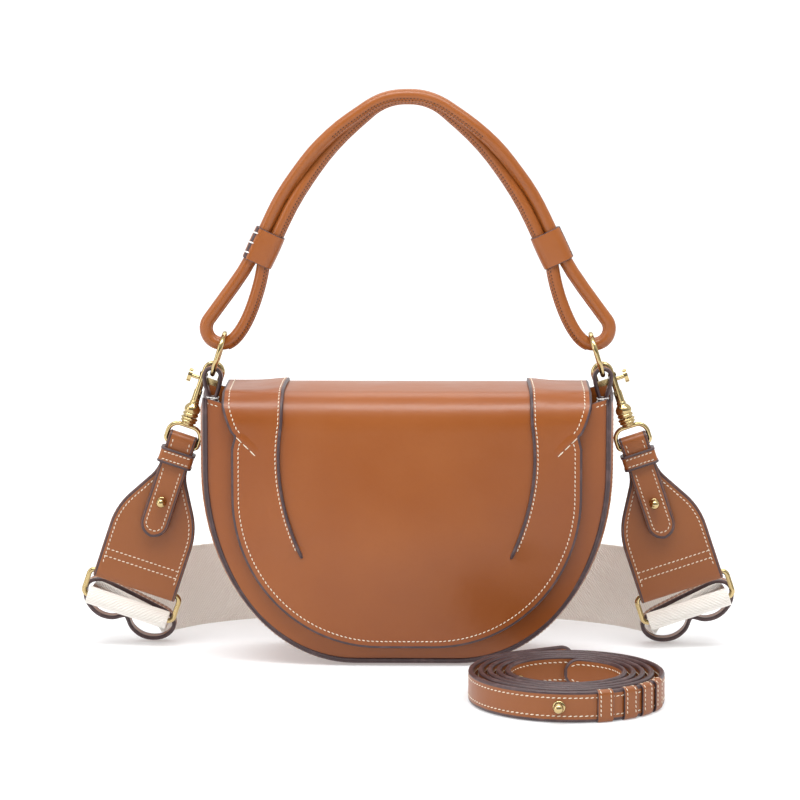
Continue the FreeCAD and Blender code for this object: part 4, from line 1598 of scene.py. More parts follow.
    def column(self, code: float, reach: float, inset: float = 0.0) -> float:
        """The x of a mesh column.

        Args:
            code: Up to one in the middle, from one to two on a side.
            reach: Length along the flap.
            inset: How far the edge is drawn in.

        Returns:
            The x in millimetres.
        """
        side = math.copysign(1.0, code)
        size = abs(code)
        edge = self.width(reach) - inset
        inner = min(self.pleat_half(reach), edge * 0.96)
        if size < 1.0:
            return side * inner * size / 0.999
        near = min(inner + self.step, edge - 0.3)
        return side * (near + (edge - near) * (size - 1.0))

    def hinge(self, piece: bpy.types.Object, *nodes: str) -> None:
        """Bake a piece's placement into its mesh, and put it in place of CAD nodes.

        Args:
            piece: The finished piece.
            nodes: CAD nodes that it stands for.
        """
        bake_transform(piece)
        if nodes:
            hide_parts(*nodes)
        LOG.info("%s bends between bag and flap", piece.name)

    def leather_piece(self) -> None:
        """Build the flap's leather with its lapped pleats."""
        skin = Skin("flap")

        def place(code: float, reach: float) -> Vector:
            """A point of the outer face by its column and its length."""
            return self.point(self.column(code, reach), reach)

        def paint(code: float, reach: float) -> int:
            """The edge paint's number on the raw step of a pleat."""
            raw = 0.9985 < abs(code) < 1.0
            return 1 if raw and self.lap_share(reach) > 0.12 else 0

        skin.sheet(self.columns(30, 9), self.rows(), place, True, paint)
        piece = skin.finish(self.finishes.cut_flap, self.leather, Grow.INWARD, 0.4)
        self.hinge(piece, "flap_leather", "flap_back")

    def lining_piece(self) -> None:
        """Build the flap's lining, which leaves the raised part of the lapped sides."""
        skin = Skin("flap_lining_leather")
        rows = [reach for reach in self.rows() if 3.5 < reach < self.marks[5] - 3.0]

        def place(code: float, reach: float) -> Vector:
            """A point of the lining by its column and its length."""
            x = self.column(code, reach, self.lining_inset)
            gap = self.lining_lap * self.lap * self.lap_share(reach) * self.lap_fall(x, reach)
            return self.point(x, reach, self.leather + 0.06 + gap)

        skin.sheet(self.columns(20, 6), rows, place, True)
        piece = skin.finish([self.finishes.lining], self.lining - 0.1, Grow.INWARD)
        self.hinge(piece, "flap_lining", "flap_back_lining")

    def edges(self) -> None:
        """Build the round painted edges of the flap and of its pleats."""
        skin = Skin("flap_edges")
        rows = self.rows()
        deep = self.leather / 2
        right = [self.point(self.width(reach), reach, deep) for reach in rows]
        low = [self.point(x, rows[-1], deep) for x in evenly(self.width(rows[-1]), 0.0, 3)[1:]]
        high = [self.point(x, rows[0], deep) for x in evenly(0.0, self.width(rows[0]), 16)[:-1]]
        half = tidied(high + right + low, 0.6)
        skin.tube(half + mirrored(half[1:-1]), lambda share: self.bead, ring=True)
        for side in SIDES:
            pleat = []
            for reach in evenly(self.marks[1] + 6.0, self.reach_of(self.pleat_tip - 1.0), 70):
                x = self.pleat_half(reach) + self.step * 0.55
                pleat.append(self.point(side * x, reach, 0.75 * self.lap_share(reach)))
            skin.tube(pleat, self.pleat_size)
        skin.seal()
        self.hinge(skin.finish([self.finishes.edge]))

    def pleat_size(self, share: float) -> float:
        """Radius of a pleat's painted edge, thin where the pleat starts."""
        return 0.15 + 0.95 * min(1.0, share / 0.22) * min(1.0, (1.02 - share) / 0.03)

    def inset_outline(self) -> Line:
        """Right-hand seam line from the back edge's middle to the bottom's middle.

        Returns:
            The half width and length of each point.
        """
        rows = self.rows()
        edge = [(self.width(reach), reach) for reach in rows]
        edge = [(0.0, rows[0])] + edge + [(0.0, rows[-1])]
        line = []
        for before, here, after in zip(edge, edge[1:], edge[2:]):
            way = Vector((after[0] - before[0], after[1] - before[1]))
            inward = Vector((-way.y, way.x)).normalized() * self.seam_inset
            line.append((here[0] + inward.x, here[1] + inward.y))
        low, high = rows[0] + self.seam_inset, rows[-1] - self.seam_inset
        line = [(max(0.0, x), min(max(reach, low), high)) for x, reach in line]
        return [(0.0, low)] + line + [(0.0, high)]

    def dense(self, line: Line) -> Line:
        """A seam line with points close enough to follow the swell under it.

        Args:
            line: Half width and length of each point.

        Returns:
            The line with the points between.
        """
        full = [line[0]]
        for (x, reach), (next_x, next_reach) in zip(line, line[1:]):
            run = math.hypot(next_x - x, next_reach - reach)
            for share in evenly(0.0, 1.0, max(1, math.ceil(run / self.seam_step)))[1:]:
                full.append((x + (next_x - x) * share, reach + (next_reach - reach) * share))
        return full

    def dart_spot(self, run: float, beside: float) -> tuple[float, float]:
        """Half width and length of a point along a dart and beside it."""
        lean = math.radians(self.dart_angle)
        x = self.notch_half - run * math.sin(lean) - beside * math.cos(lean)
        z = self.notch_height + self.dart_rise - run * math.cos(lean) + beside * math.sin(lean)
        return x, self.reach_of(z)

    def seams(self) -> None:
        """Sew the flap's edge, its pleats and its darts."""
        thread = Stitching("flap_stitching")
        dart_thread = Stitching("flap_dart_stitching", pitch=5.2, length=4.6, width=0.8, slant=0.0)
        upper = self.reach_of(self.notch_height + 1.9)
        lower = self.reach_of(self.notch_height - 1.6)
        line = self.dense(self.inset_outline())
        back = [(x, reach) for x, reach in line if reach < upper]
        front = [(x, reach) for x, reach in line if reach > lower]
        reaches = [self.reach_of(z) for z in evenly(self.pleat_tip + 3.0, self.rim, 26)]
        reaches += evenly(self.marks[4], self.marks[2] - 6.0, 18)[1:]
        pleat = [(self.pleat_half(reach) + self.pleat_inset, reach) for reach in reaches]
        dart = [self.dart_spot(run, -0.2) for run in evenly(0.2, self.dart_length, 6)]
        for side in SIDES:

            def sew(sewing: Stitching, part: Line) -> None:
                """Sew along a line of the right half on this side."""
                spots = [(side * x, reach) for x, reach in part]
                sewing.row([(self.point(*spot), self.facing(*spot)) for spot in spots], side)

            for part in (back, front, pleat):
                sew(thread, part)
            sew(dart_thread, dart)
        self.hinge(dart_thread.finish(self.finishes.thread))
        self.hinge(thread.finish(self.finishes.thread))

    def darts(self) -> None:
        """Build the soft folds above the darts' stitches."""
        skin = Skin("flap_darts")
        across = [self.dart_width * share**2 for share in evenly(0.0, 1.0, 10)]
        for side in SIDES:

            def fold(beside: float, run: float) -> Vector:
                """A point of the fold by its distance from the dart and its run along it."""
                x, reach = self.dart_spot(run, beside)
                share = beside / self.dart_width
                fade = math.sqrt(max(0.0, 1 - run / (self.dart_length + 0.5)))
                wave = math.sin(math.pi * share**0.45)
                rise = self.dart_fold * fade * min(1.0, run / 4.0) * wave - 0.06
                return self.point(side * x, reach) + self.facing(side * x, reach) * rise

            skin.sheet(across, evenly(0.0, self.dart_length, 12), fold, side > 0)
        bmesh.ops.recalc_face_normals(skin.mesh, faces=skin.mesh.faces)
        self.hinge(skin.finish([self.finishes.flap]))

    def magnet(self) -> None:
        """Build the flap's disc magnet, set into its lining."""
        skin = Skin("flap_magnet_disc")
        reach = self.reach_of(self.magnet_height)
        foot = self.point(0.0, reach, self.leather + self.lining - 0.35)
        size = self.magnet_radius
        profile = [(0.0, -0.9), (size - 0.5, -0.9), (size, -0.5), (size, 0.55), (size - 0.4, 0.9)]
        profile += [(size - 1.6, 0.9), (size - 1.9, 0.6), (0.0, 0.6)]
        skin.lathe(profile, Matrix.Translation(foot) @ Matrix.Rotation(-math.pi / 2, 4, "X"))
        settle(skin.finish([self.finishes.steel]), "flap", "magnet", "flap_magnet")

    def build(self) -> None:
        """Build the whole flap."""
        self.leather_piece()
        self.lining_piece()
        self.edges()
        self.darts()
        self.magnet()
        self.seams()


# Tabs


@dataclass
class RingTabs:
    """The leather loops that hold the oval rings."""

    finishes: Finishes
    centre_x: float = 114.4
    pinch: float = 2.5
    foot: float = 134.0
    grip_top: float = 150.0
    shoulder: Pairs = ((0.0, 0.5), (1.3, 5.0), (2.8, 10.0))
    loop_height: float = 165.0
    loop_radius: float = 6.0
    front_y: float = -1.2
    width: float = 6.4
    leather: float = 2.2
    edge_inset: float = 0.4
    edge_start: float = 8.0
    binding: float = 0.34
    binding_turns: Pairs = ((150.6, 0.18), (151.7, -0.12), (152.5, 0.10))

    def path(self) -> Track:
        """The loop's outer line in its own plane, from the outer foot over the top.

        Returns:
            The line.
        """
        right = [vec(self.pinch, 0.0, self.foot)]
        for out, rise in self.shoulder:
            right.append(vec(self.pinch + out, 0.0, self.grip_top + rise))
        size = self.loop_radius
        over = arc(vec(z=self.loop_height), vec(x=size), vec(z=size), 0.0, 180.0, 18)
        return Track(right + over + mirrored(right))

    def place(self, side: int, point: Vector, y: float) -> Vector:
        """The place of a point of the loop's plane."""
        return vec(side * (self.centre_x + point.x), y, point.z)

    def build(self) -> None:
        """Build both tabs, their painted edges and their binding."""
        track = self.path()
        rows = sorted(set(track.marks + evenly(0.0, track.length, 30)))
        across = evenly(self.front_y, self.front_y + self.width, 4)
        for side in SIDES:
            name = SIDE_NAMES[side]
            skin = Skin(name + "_ring_tab")

            def place(y: float, reach: float) -> Vector:
                """A point of the loop by its depth and its reach."""
                return self.place(side, track.at(reach), y)

            skin.sheet(across, rows, place, side < 0)
            piece = skin.finish(self.finishes.cut_strap, self.leather, Grow.INWARD, 0.5)
            settle(piece, "bag", "bag_leather", name + "_tab")
            self.edges(name, side, track)
            self.wraps(name, side)

    def edges(self, name: str, side: int, track: Track) -> None:
        """Build a tab's painted edges.

        Args:
            name: Left or right.
            side: One for the right, minus one for the left.
            track: The loop's outer line.
        """
        lines = []
        far = self.front_y + self.width - self.edge_inset
        for y in (self.front_y + self.edge_inset, far):
            line = []
            for reach in evenly(self.edge_start, track.length - self.edge_start, 44):
                way = track.way(reach)
                point = track.at(reach) + vec(-way.z, 0.0, way.x) * (self.leather / 2)
                line.append(self.place(side, point, y))
            lines.append(line)
        size = self.leather / 2 + 0.12
        piece = beads(name + "_tab_edges", lines, size, self.finishes.edge, False)
        settle(piece, "bag", "bag_leather")

    def wraps(self, name: str, side: int) -> None:
        """Bind a tab's foot with thread.

        Args:
            name: Left or right.
            side: One for the right, minus one for the left.
        """
        middle = self.front_y + self.width / 2
        ring = soft_box(self.pinch + 0.75, self.width / 2 + 0.6, 1.0)
        lines = []
        for level, slope in self.binding_turns:
            line = []
            for point in ring.points[:-1]:
                spot = vec(point.x, 0.0, level + slope * point.x)
                line.append(self.place(side, spot, middle + point.y))
            lines.append(line)
        thread = self.finishes.white_thread
        piece = beads(name + "_tab_binding", lines, self.binding, thread, sides=8)
        settle(piece, "bag", "bag_leather")


# Handle


@dataclass
class Handle:
    """One rolled cord, doubled through both rings, and its two sleeves."""

    finishes: Finishes
    cord: float = 3.7
    cord_ripple: float = 0.012
    ripple_rate: float = 190.0
    strand_gap: float = 0.4
    y: float = 3.0
    sleeve_half: float = 84.0
    sleeve_height: float = 240.5
    sleeve_tilt: float = 25.0
    sleeve_length: float = 20.0
    sleeve_wall: float = 1.3
    sleeve_puff: float = 0.03
    sleeve_lead: float = 13.0
    lip_width: float = 3.4
    lip_rise: float = 1.2
    lace_share: float = 0.62
    apex: float = 328.6
    centre_height: float = 214.0
    loop_radius: float = 9.3
    loop_bend: float = 0.4
    loop_low: float = 235.0
    loop_steep: float = 7.0
    loop_ease: float = 12.0
    foot_half: float = 108.93
    axis_height: float = 183.84
    half_shares: tuple[float, ...] = (0.833, 0.554, 0.16)
    rise_shares: tuple[float, ...] = (0.34, 0.708, 1.0)
    spread_shares: tuple[float, ...] = (1.0, 1.13, 1.08)
    bend_shares: tuple[float, ...] = (0.36, 0.45, 0.45)
    leans: tuple[float, ...] = (25.0, 44.0, 80.0)
    turns: tuple[float, ...] = (0.0, 45.0, 79.0)
    seam_tilts: tuple[float, ...] = (34.0, 62.0)
    seam_half: float = 46.0
    ridge_width: float = 1.7
    ridge_rise: float = 0.75
    lacing: ClassVar[dict[int, float]] = {-1: -40.0, 1: 6.0}

    def strand(self, side: int) -> list[Vector]:
        """Right-hand corner points of a strand, from below the sleeve up.

        Args:
            side: One for the outer strand, minus one for the inner.

        Returns:
            The points.
        """
        offset = self.cord + self.strand_gap / 2
        lean = math.radians(self.sleeve_tilt)
        up = vec(-math.sin(lean), 0.0, math.cos(lean))
        out = vec(math.cos(lean), 0.0, math.sin(lean))
        middle = vec(self.sleeve_half, self.y, self.sleeve_height)
        points = [middle - up * self.sleeve_lead + out * side * offset]
        for half, rise, spread, steep, turn in zip(
            self.half_shares, self.rise_shares, self.spread_shares, self.leans, self.turns
        ):
            height = self.sleeve_height + (self.apex - self.sleeve_height) * rise
            place = vec(self.sleeve_half * half, self.y, height)
            reach = side * offset * spread
            angle, slope = math.radians(turn), math.radians(steep)
            normal = vec(math.cos(slope), 0.0, math.sin(slope)) * (reach * math.cos(angle))
            points.append(place + normal - vec(y=reach * math.sin(angle)))
        return points

    def loop_centre(self) -> Vector:
        """Centre of the round loop about the right ring."""
        return vec(self.foot_half, self.y, self.axis_height + self.loop_radius)

    def touch(self, point: Vector, side: int) -> tuple[Vector, float]:
        """Where a strand meets the round loop about the ring.

        Args:
            point: The strand's lowest corner point.
            side: One for the outer strand, minus one for the inner.

        Returns:
            The meeting point and its angle on the loop in degrees.
        """
        centre = self.loop_centre()
        way = point - centre
        spread = math.acos(self.loop_radius / Vector((way.x, way.z)).length)
        angle = math.atan2(way.z, way.x) - side * spread
        spot = centre + vec(math.cos(angle), 0.0, math.sin(angle)) * self.loop_radius
        return spot, math.degrees(angle)

    def span(self, touch: Vector, strand: list[Vector]) -> list[Vector]:
        """A strand's way from the left loop over the top to the right loop.

        Args:
            touch: Where it meets the right loop.
            strand: Its right-hand corner points.

        Returns:
            Points along it.
        """
        right = [touch] + strand
        way = [to_side(point, -1) for point in right] + list(reversed(right))
        runs = [(after - before).length for before, after in zip(way, way[1:])]
        shares = (self.loop_bend,) + self.bend_shares
        both = shares + tuple(reversed(shares))
        bends = [share * min(pair) for share, pair in zip(both, zip(runs, runs[1:]))]
        return rounded(way, bends, 4.0)

    def eased(self, way: list[Vector]) -> list[Vector]:
        """Let the inner strand swell towards the middle between the sleeves and the loops.

        Args:
            way: Points along the strand.

        Returns:
            The points with both lower ends drawn anew.
        """
        lean = math.radians(self.sleeve_tilt)
        steep = math.radians(self.loop_steep)
        low = math.radians(self.loop_low)
        half, offset = self.sleeve_length / 2, self.cord + self.strand_gap / 2
        x = self.sleeve_half + half * math.sin(lean) - offset * math.cos(lean)
        z = self.sleeve_height - half * math.cos(lean) - offset * math.sin(lean)
        start = vec(x, self.y, z)
        end = self.loop_centre() + vec(math.cos(low), 0.0, math.sin(low)) * self.loop_radius
        leave = start + vec(math.sin(steep), 0.0, -math.cos(steep)) * self.loop_ease
        reach = end - vec(-math.sin(low), 0.0, math.cos(low)) * self.loop_ease
        run = []
        for t in evenly(0.0, 1.0, 16):
            s = 1 - t
            bent = start * s**3 + leave * (3 * s * s * t)
            run.append(bent + reach * (3 * s * t * t) + end * t**3)
        upper = [point for point in way if point.z > z + 1.0]
        return mirrored(run) + upper + run

    def path(self) -> tuple[list[Vector], float]:
        """The cord's whole closed way, and the length of its inner strand.

        Returns:
            Points along the way, and the length.
        """
        outer, inner = self.strand(1), self.strand(-1)
        outer_touch, high = self.touch(outer[0], 1)
        inner_touch, _ = self.touch(inner[0], -1)
        inner_way = self.eased(filled(self.span(inner_touch, inner), 5.0))
        outer_way = self.span(outer_touch, outer)
        high = high % 360.0
        if high < self.loop_low:
            high += 360.0
        size = self.loop_radius
        loop = arc(self.loop_centre(), vec(x=size), vec(z=size), self.loop_low, high, 20)
        way = inner_way + loop[1:-1] + list(reversed(outer_way)) + mirrored(loop)[1:-1]
        return tidied(filled(way, 5.0), 0.5), Track(inner_way).length

    def build(self) -> None:
        """Build the cord, its seam and the sleeves."""
        path, inner = self.path()
        skin = Skin("handle_cord_leather")

        def size(share: float) -> float:
            """The cord's radius, a little uneven along its length."""
            return self.cord * (1 + self.cord_ripple * math.sin(share * self.ripple_rate))

        skin.tube(path, size, 18, True)
        skin.close()
        bmesh.ops.recalc_face_normals(skin.mesh, faces=skin.mesh.faces)
        settle(skin.finish([self.finishes.handle]), "handle", "handle_leather", "handle_cord")
        self.seam(path, inner)
        self.sleeves()

    def seam(self, path: list[Vector], inner: float) -> None:
        """Sew the cord's long seam, a low ridge with stitches beside it.

        Args:
            path: The cord's closed way.
            inner: Length of its inner strand.
        """
        thread = Stitching("handle_stitching", pitch=2.0, length=1.15, width=0.75, height=0.3)
        ridge = Skin("handle_seam")
        count = len(path)
        ways = [(path[(n + 1) % count] - path[n - 1]).normalized() for n in range(count)]
        outs = []
        for point, way in zip(path, ways):
            toward = vec(0.0, self.y, self.centre_height) - point
            toward.y = 0.0
            outs.append((toward - way * toward.dot(way)).normalized())
        marks = Track(path).marks
        for tilt in (math.radians(angle) for angle in self.seam_tilts):
            seams: tuple[Seam, Seam] = ([], [])
            for mark, point, way, out in zip(marks, path, ways, outs):
                strand = 0 if mark < inner else 1
                low = abs(point.x) > self.seam_half or point.z < self.sleeve_height
                if strand == 1 and low:
                    continue
                side = vec(y=-1.0)
                side = (side - way * side.dot(way)).normalized()
                facing = (out * math.cos(tilt) + side * math.sin(tilt)).normalized()
                seams[strand].append((point + facing * (self.cord + 0.02), facing))
            for seam in seams:
                thread.row(seam)

        def place(share: float, row: float) -> Vector:
            """A point of the ridge by its share of the width and its number in the way."""
            number = round(row) % count
            out, way = outs[number], ways[number]
            side = way.cross(out).normalized()
            rise = self.cord - 0.25 + self.ridge_rise * math.sin(math.pi * share)
            return path[number] + out * rise + side * (share - 0.5) * self.ridge_width

        ridge.sheet(evenly(0.0, 1.0, 6), numbers(count + 1), place)
        bmesh.ops.remove_doubles(ridge.mesh, verts=ridge.mesh.verts, dist=0.01)
        bmesh.ops.recalc_face_normals(ridge.mesh, faces=ridge.mesh.faces)
        settle(ridge.finish([self.finishes.handle]), "handle", "handle_leather")
        settle(thread.finish(self.finishes.brown_thread), "handle", "handle_leather")

    def sleeves(self) -> None:
        """Build the wraps that hold the strands together, with their lips and lacing."""
        offset = self.cord + self.strand_gap / 2
        radius = self.cord + 0.2 + self.sleeve_wall
        lean = math.radians(self.sleeve_tilt)
        round_x, round_y = vec(x=radius), vec(y=radius)
        loop = arc(vec(x=offset), round_x, round_y, -90.0, 90.0, 12)
        loop += arc(vec(x=-offset), round_x, round_y, 90.0, 270.0, 12)
        ring = Track(loop + [loop[0]])
        half = self.sleeve_length / 2
        base = vec(x=offset)
        for side in SIDES:
            name = SIDE_NAMES[side]
            angle = math.radians(self.lacing[side])
            out = vec(math.cos(angle), math.sin(angle))
            across = vec(-out.y, out.x)

            def set_on(point: Vector, z: float) -> Vector:
                """The place of a point of the sleeve's section at a height along it."""
                x = point.x * math.cos(lean) - z * math.sin(lean)
                up = point.x * math.sin(lean) + z * math.cos(lean)
                return vec(side * (self.sleeve_half + x), self.y + point.y, self.sleeve_height + up)

            def wrap(point: Vector, z: float) -> Vector:
                """A point of the sleeve, fuller at its middle."""
                return set_on(point * (1 + self.sleeve_puff * (1 - (z / half) ** 2)), z)

            def ridge(share: float, z: float) -> Vector:
                """A point of the lip by its share of the width and its height."""
                crest = self.lip_rise * math.sin(math.pi * share) ** 0.5
                rise = radius * (1 + 0.02 * (1 - (z / half) ** 2)) - 0.75 + crest
                return set_on(base + out * rise + across * (share - 0.5) * self.lip_width, z)

            skin = hoop(
                name + "_handle_sleeve_leather", evenly(-half, half, 8), ring, wrap, side > 0
            )
            piece = skin.finish(self.finishes.cut_handle, self.sleeve_wall, Grow.INWARD, 0.4)
            settle(piece, "handle", "handle_leather", name + "_handle_sleeve")
            lip = Skin(name + "_sleeve_lip")
            lip.sheet(evenly(0.0, 1.0, 6), evenly(-half + 0.4, half - 0.4, 6), ridge, side > 0)
            settle(lip.finish([self.finishes.edge]), "handle", "handle_leather")
            thread = Stitching(
                name + "_sleeve_lacing", length=6.4, width=2.2, height=1.7, slant=8.0
            )
            for z in (-half * self.lace_share, 0.0, half * self.lace_share):
                spot = set_on(base + out * (radius + 0.45), z)
                foot = set_on(base + out * radius, z)
                run = set_on(base + across, z) - set_on(base, z)
                thread.stitch(spot, run, spot - foot)
            settle(thread.finish(self.finishes.white_thread), "handle", "handle_leather")


# Strap ends, webbing and keepers


@dataclass
class StrapSide:
    """The wide strap's end on one side: folded panel, keeper and stud."""

    finishes: Finishes
    side: int
    stem: tuple[float, float, float] = (118.97, 8.0, 168.17)
    tilt: float = 18.5
    leather: float = 2.2
    face: float = 3.8
    neck: float = 8.0
    neck_top: float = 44.2
    tab_end: float = 104.0
    tip_angles: tuple[float, ...] = (3.0, 12.0, 24.0, 38.0, 54.0, 72.0, 90.0)
    taper_start: float = 66.0
    taper_end: float = 95.0
    taper_foot: float = 6.0
    taper_shoulder: float = 11.0
    wide: float = 25.0
    fold: float = 136.0
    fold_y: float = 5.6
    fold_radius: float = 1.8
    fold_taper: float = 9.0
    fold_back: float = 24.0
    fold_rows: tuple[float, ...] = (10.5, 15.0)
    lap_gap: float = 0.12
    seam_inset: float = 2.9
    tab_seam: float = -63.0
    back_seam: float = -50.0
    neck_seam: tuple[float, ...] = (-44.6, -50.4)
    fold_seam: float = 6.0
    keeper_drop: float = 51.0
    keeper_length: float = 9.0
    keeper_wall: float = 1.8
    keeper_gap: float = 0.3
    stud_drop: float = 83.0

    @property
    def name(self) -> str:
        """Left or right."""
        return SIDE_NAMES[self.side]

    @property
    def body(self) -> str:
        """The body that the leather rides on."""
        return self.name + "_strap_end"

    def world(self, point: Vector) -> Vector:
        """The place of a point given about the stem's top."""
        lean = math.radians(self.tilt)
        x = self.stem[0] + point.x * math.cos(lean) - point.z * math.sin(lean)
        z = self.stem[2] + point.x * math.sin(lean) + point.z * math.cos(lean)
        return vec(self.side * x, self.stem[1] + point.y, z)

    def turn(self, way: Vector) -> Vector:
        """The direction of a way given about the stem's top."""
        return self.world(way) - self.world(vec())

    def flare(self) -> list[Vector]:
        """The panel's edge from the neck to the fold, half width against drop.

        Returns:
            Points along the edge.
        """
        corners = [
            vec(self.neck, 0.0, -self.neck_top),
            vec(self.neck, 0.0, -self.taper_start),
            vec(self.wide, 0.0, -self.taper_end),
            vec(self.wide, 0.0, -self.fold),
        ]
        return rounded(corners, (self.taper_foot, self.taper_shoulder), 5.0)

    def flare_half(self, z: float) -> float:
        """The panel's half width at a height.

        Args:
            z: The height about the stem's top.

        Returns:
            The half width.
        """
        line = self.flare()
        for before, after in zip(line, line[1:]):
            if before.z >= z >= after.z and before.z > after.z:
                share = (before.z - z) / (before.z - after.z)
                return before.x + (after.x - before.x) * share
        return self.wide

    def run(self) -> tuple[list[Vector], list[float]]:
        """The leather's way from the tab's end to the lap's end, and its half widths.

        Returns:
            Points along the way, and the half width at each.
        """
        points = []
        halves = []
        low = -self.tab_end + self.neck
        for turn in (math.radians(angle) for angle in self.tip_angles):
            points.append(vec(0.0, -self.face, low - self.neck * math.cos(turn)))
            halves.append(self.neck * math.sin(turn))
        points += [vec(0.0, -self.face, z) for z in evenly(low, -self.neck_top, 12)[1:]]
        top = vec(z=-self.neck_top)
        points += arc(top, vec(y=-self.face), vec(z=self.face), 0.0, 180.0, 12)[1:]
        halves += [self.neck] * (len(points) - len(halves))
        drops = [point.z for point in self.flare()[1:]]
        drops = sorted(set(drops + evenly(-self.neck_top, -self.fold, 24)[1:]), reverse=True)
        for z in drops:
            points.append(vec(0.0, self.face, z))
            halves.append(self.flare_half(z))
        bar = vec(0.0, self.fold_y, -self.fold)
        size = self.fold_radius
        points += arc(bar, vec(y=-size), vec(z=-size), 0.0, 180.0, 10)[1:]
        points.append(vec(0.0, self.face + 0.4, -self.fold + self.fold_taper))
        for z in evenly(-self.fold + self.fold_taper, -self.fold + self.fold_back, 4)[1:]:
            points.append(vec(0.0, self.face + self.lap_gap, z))
        halves += [self.wide] * (len(points) - len(halves))
        return points, halves

    def leather_piece(self) -> None:
        """Build the folded leather."""
        skin = Skin(self.name + "_strap_leather")
        points, halves = self.run()

        def place(share: float, row: float) -> Vector:
            """A point by its share of the width and its number in the way."""
            number = round(row)
            return self.world(vec(share * halves[number], *points[number].yz))

        skin.sheet(evenly(-1.0, 1.0, 10), numbers(len(points)), place, self.side < 0)
        piece = skin.finish(self.finishes.cut_strap, self.leather, Grow.INWARD, 0.45)
        settle(piece, self.body, "strap_leather", self.name + "_strap_end")

    def edges(self) -> None:
        """Build the leather's round painted edge."""
        points, halves = self.run()
        befores, afters = points[:1] + points, points[1:] + points[-1:]
        right = []
        for before, here, after, half in zip(befores, points, afters, halves):
            run = after - before
            deep = vec(0.0, run.z, -run.y).normalized() * (self.leather / 2)
            right.append(vec(max(0.3, half - 0.75), here.y + deep.y, here.z + deep.z))
        loop = tidied([self.world(point) for point in right + mirrored(right)], 0.5)
        size = self.leather / 2 + 0.16
        piece = beads(self.name + "_strap_edges", [loop], size, self.finishes.edge)
        settle(piece, self.body, "strap_leather")

    def sewn(self, points: Sequence[Vector], facing: Vector) -> Seam:
        """A seam through points given about the stem's top."""
        return [(self.world(point), facing) for point in points]

    def flare_seam(self, way: int, y: float, start: float, end: float) -> list[Vector]:
        """A seam line beside the panel's edge.

        Args:
            way: One for the outer edge, minus one for the inner.
            y: Depth of the sewn face.
            start: Height where the seam starts.
            end: Height over the fold where it ends.

        Returns:
            Points about the stem's top.
        """
        edge = [vec(self.flare_half(start), 0.0, start)]
        low = -self.fold + self.fold_seam
        edge += [point for point in self.flare() if start >= point.z >= low]
        edge.append(vec(self.wide, 0.0, -self.fold + end))
        line = []
        for before, here, after in zip([edge[0]] + edge, edge, edge[1:] + [edge[-1]]):
            run = after - before
            inward = vec(run.z, 0.0, -run.x).normalized() * self.seam_inset
            line.append(vec(way * (here.x + inward.x), y, here.z + inward.z))
        return line

    def seams(self) -> None:
        """Sew the tab, the panel's edges and the fold."""
        thread = Stitching(self.name + "_strap_stitching")
        front = self.turn(vec(y=-1.0))
        back = -front
        low = -self.tab_end + self.neck
        half = self.neck - self.seam_inset
        tab = [vec(half, -self.face, self.tab_seam), vec(half, -self.face, low)]
        tip = arc(vec(0.0, -self.face, low), vec(x=half), vec(z=-half), 0.0, 180.0, 10)
        thread.row(self.sewn(tab + tip[1:] + [to_side(tab[0], -1)], front))
        for way in SIDES:
            neck = [vec(way * half, -self.face, z) for z in self.neck_seam]
            thread.row(self.sewn(neck, front))
        near = self.face - self.leather
        for y, facing, start, end in (
            (near, front, self.tab_seam, self.fold_seam),
            (self.face, back, self.back_seam, self.fold_back + 1.0),
        ):
            for way in SIDES:
                thread.row(self.sewn(self.flare_seam(way, y, start, end), facing), way)
        lap = self.face + self.lap_gap + self.leather
        for z in (-self.fold + rise for rise in self.fold_rows):
            for y, facing in ((near, front), (lap, back)):
                row = [vec(x, y, z) for x in evenly(-self.wide + 2.4, self.wide - 2.4, 8)]
                thread.row(self.sewn(row, facing))
        for way in SIDES:
            x = way * (self.wide - self.seam_inset)
            row = [vec(x, lap, z) for z in evenly(-self.fold + 10.0, -self.fold + 22.5, 3)]
            thread.row(self.sewn(row, back))
        settle(thread.finish(self.finishes.thread), self.body, "strap_leather")

    def keeper(self) -> None:
        """Build the loop that holds the tab to the panel."""
        body = self.name + "_end_keeper"
        half_x = self.neck + self.keeper_gap + self.keeper_wall
        half_y = self.face + self.keeper_gap + self.keeper_wall
        high = -self.keeper_drop
        low = high - self.keeper_length

        def place(point: Vector, z: float) -> Vector:
            """A point of the loop's outline at a height."""
            return self.world(vec(point.x, point.y, z))

        ring = soft_box(half_x, half_y, 2.2)
        name = self.name + "_keeper_leather"
        skin = hoop(name, evenly(low, high, 6), ring, place, self.side > 0)
        piece = skin.finish(self.finishes.cut_strap, self.keeper_wall, Grow.INWARD, 0.4)
        settle(piece, body, "strap_leather", body)
        set_in = self.keeper_wall / 2 - 0.55
        outline = soft_box(half_x - set_in, half_y - set_in, 1.6).points[:-1]
        lines = [[place(point, z) for point in outline] for z in (low + 0.6, high - 0.6)]
        size = self.keeper_wall / 2 - 0.1
        piece = beads(self.name + "_keeper_edges", lines, size, self.finishes.edge)
        settle(piece, body, "strap_leather")
        thread = Stitching(self.name + "_keeper_stitching", pitch=2.5, length=1.8)
        for z in (low + 2.3, high - 2.3):
            for way in SIDES:
                row = [vec(x, way * half_y, z) for x in evenly(-half_x + 1.8, half_x - 1.8, 4)]
                thread.row(self.sewn(row, self.turn(vec(y=way))))
        settle(thread.finish(self.finishes.thread), body, "strap_leather")

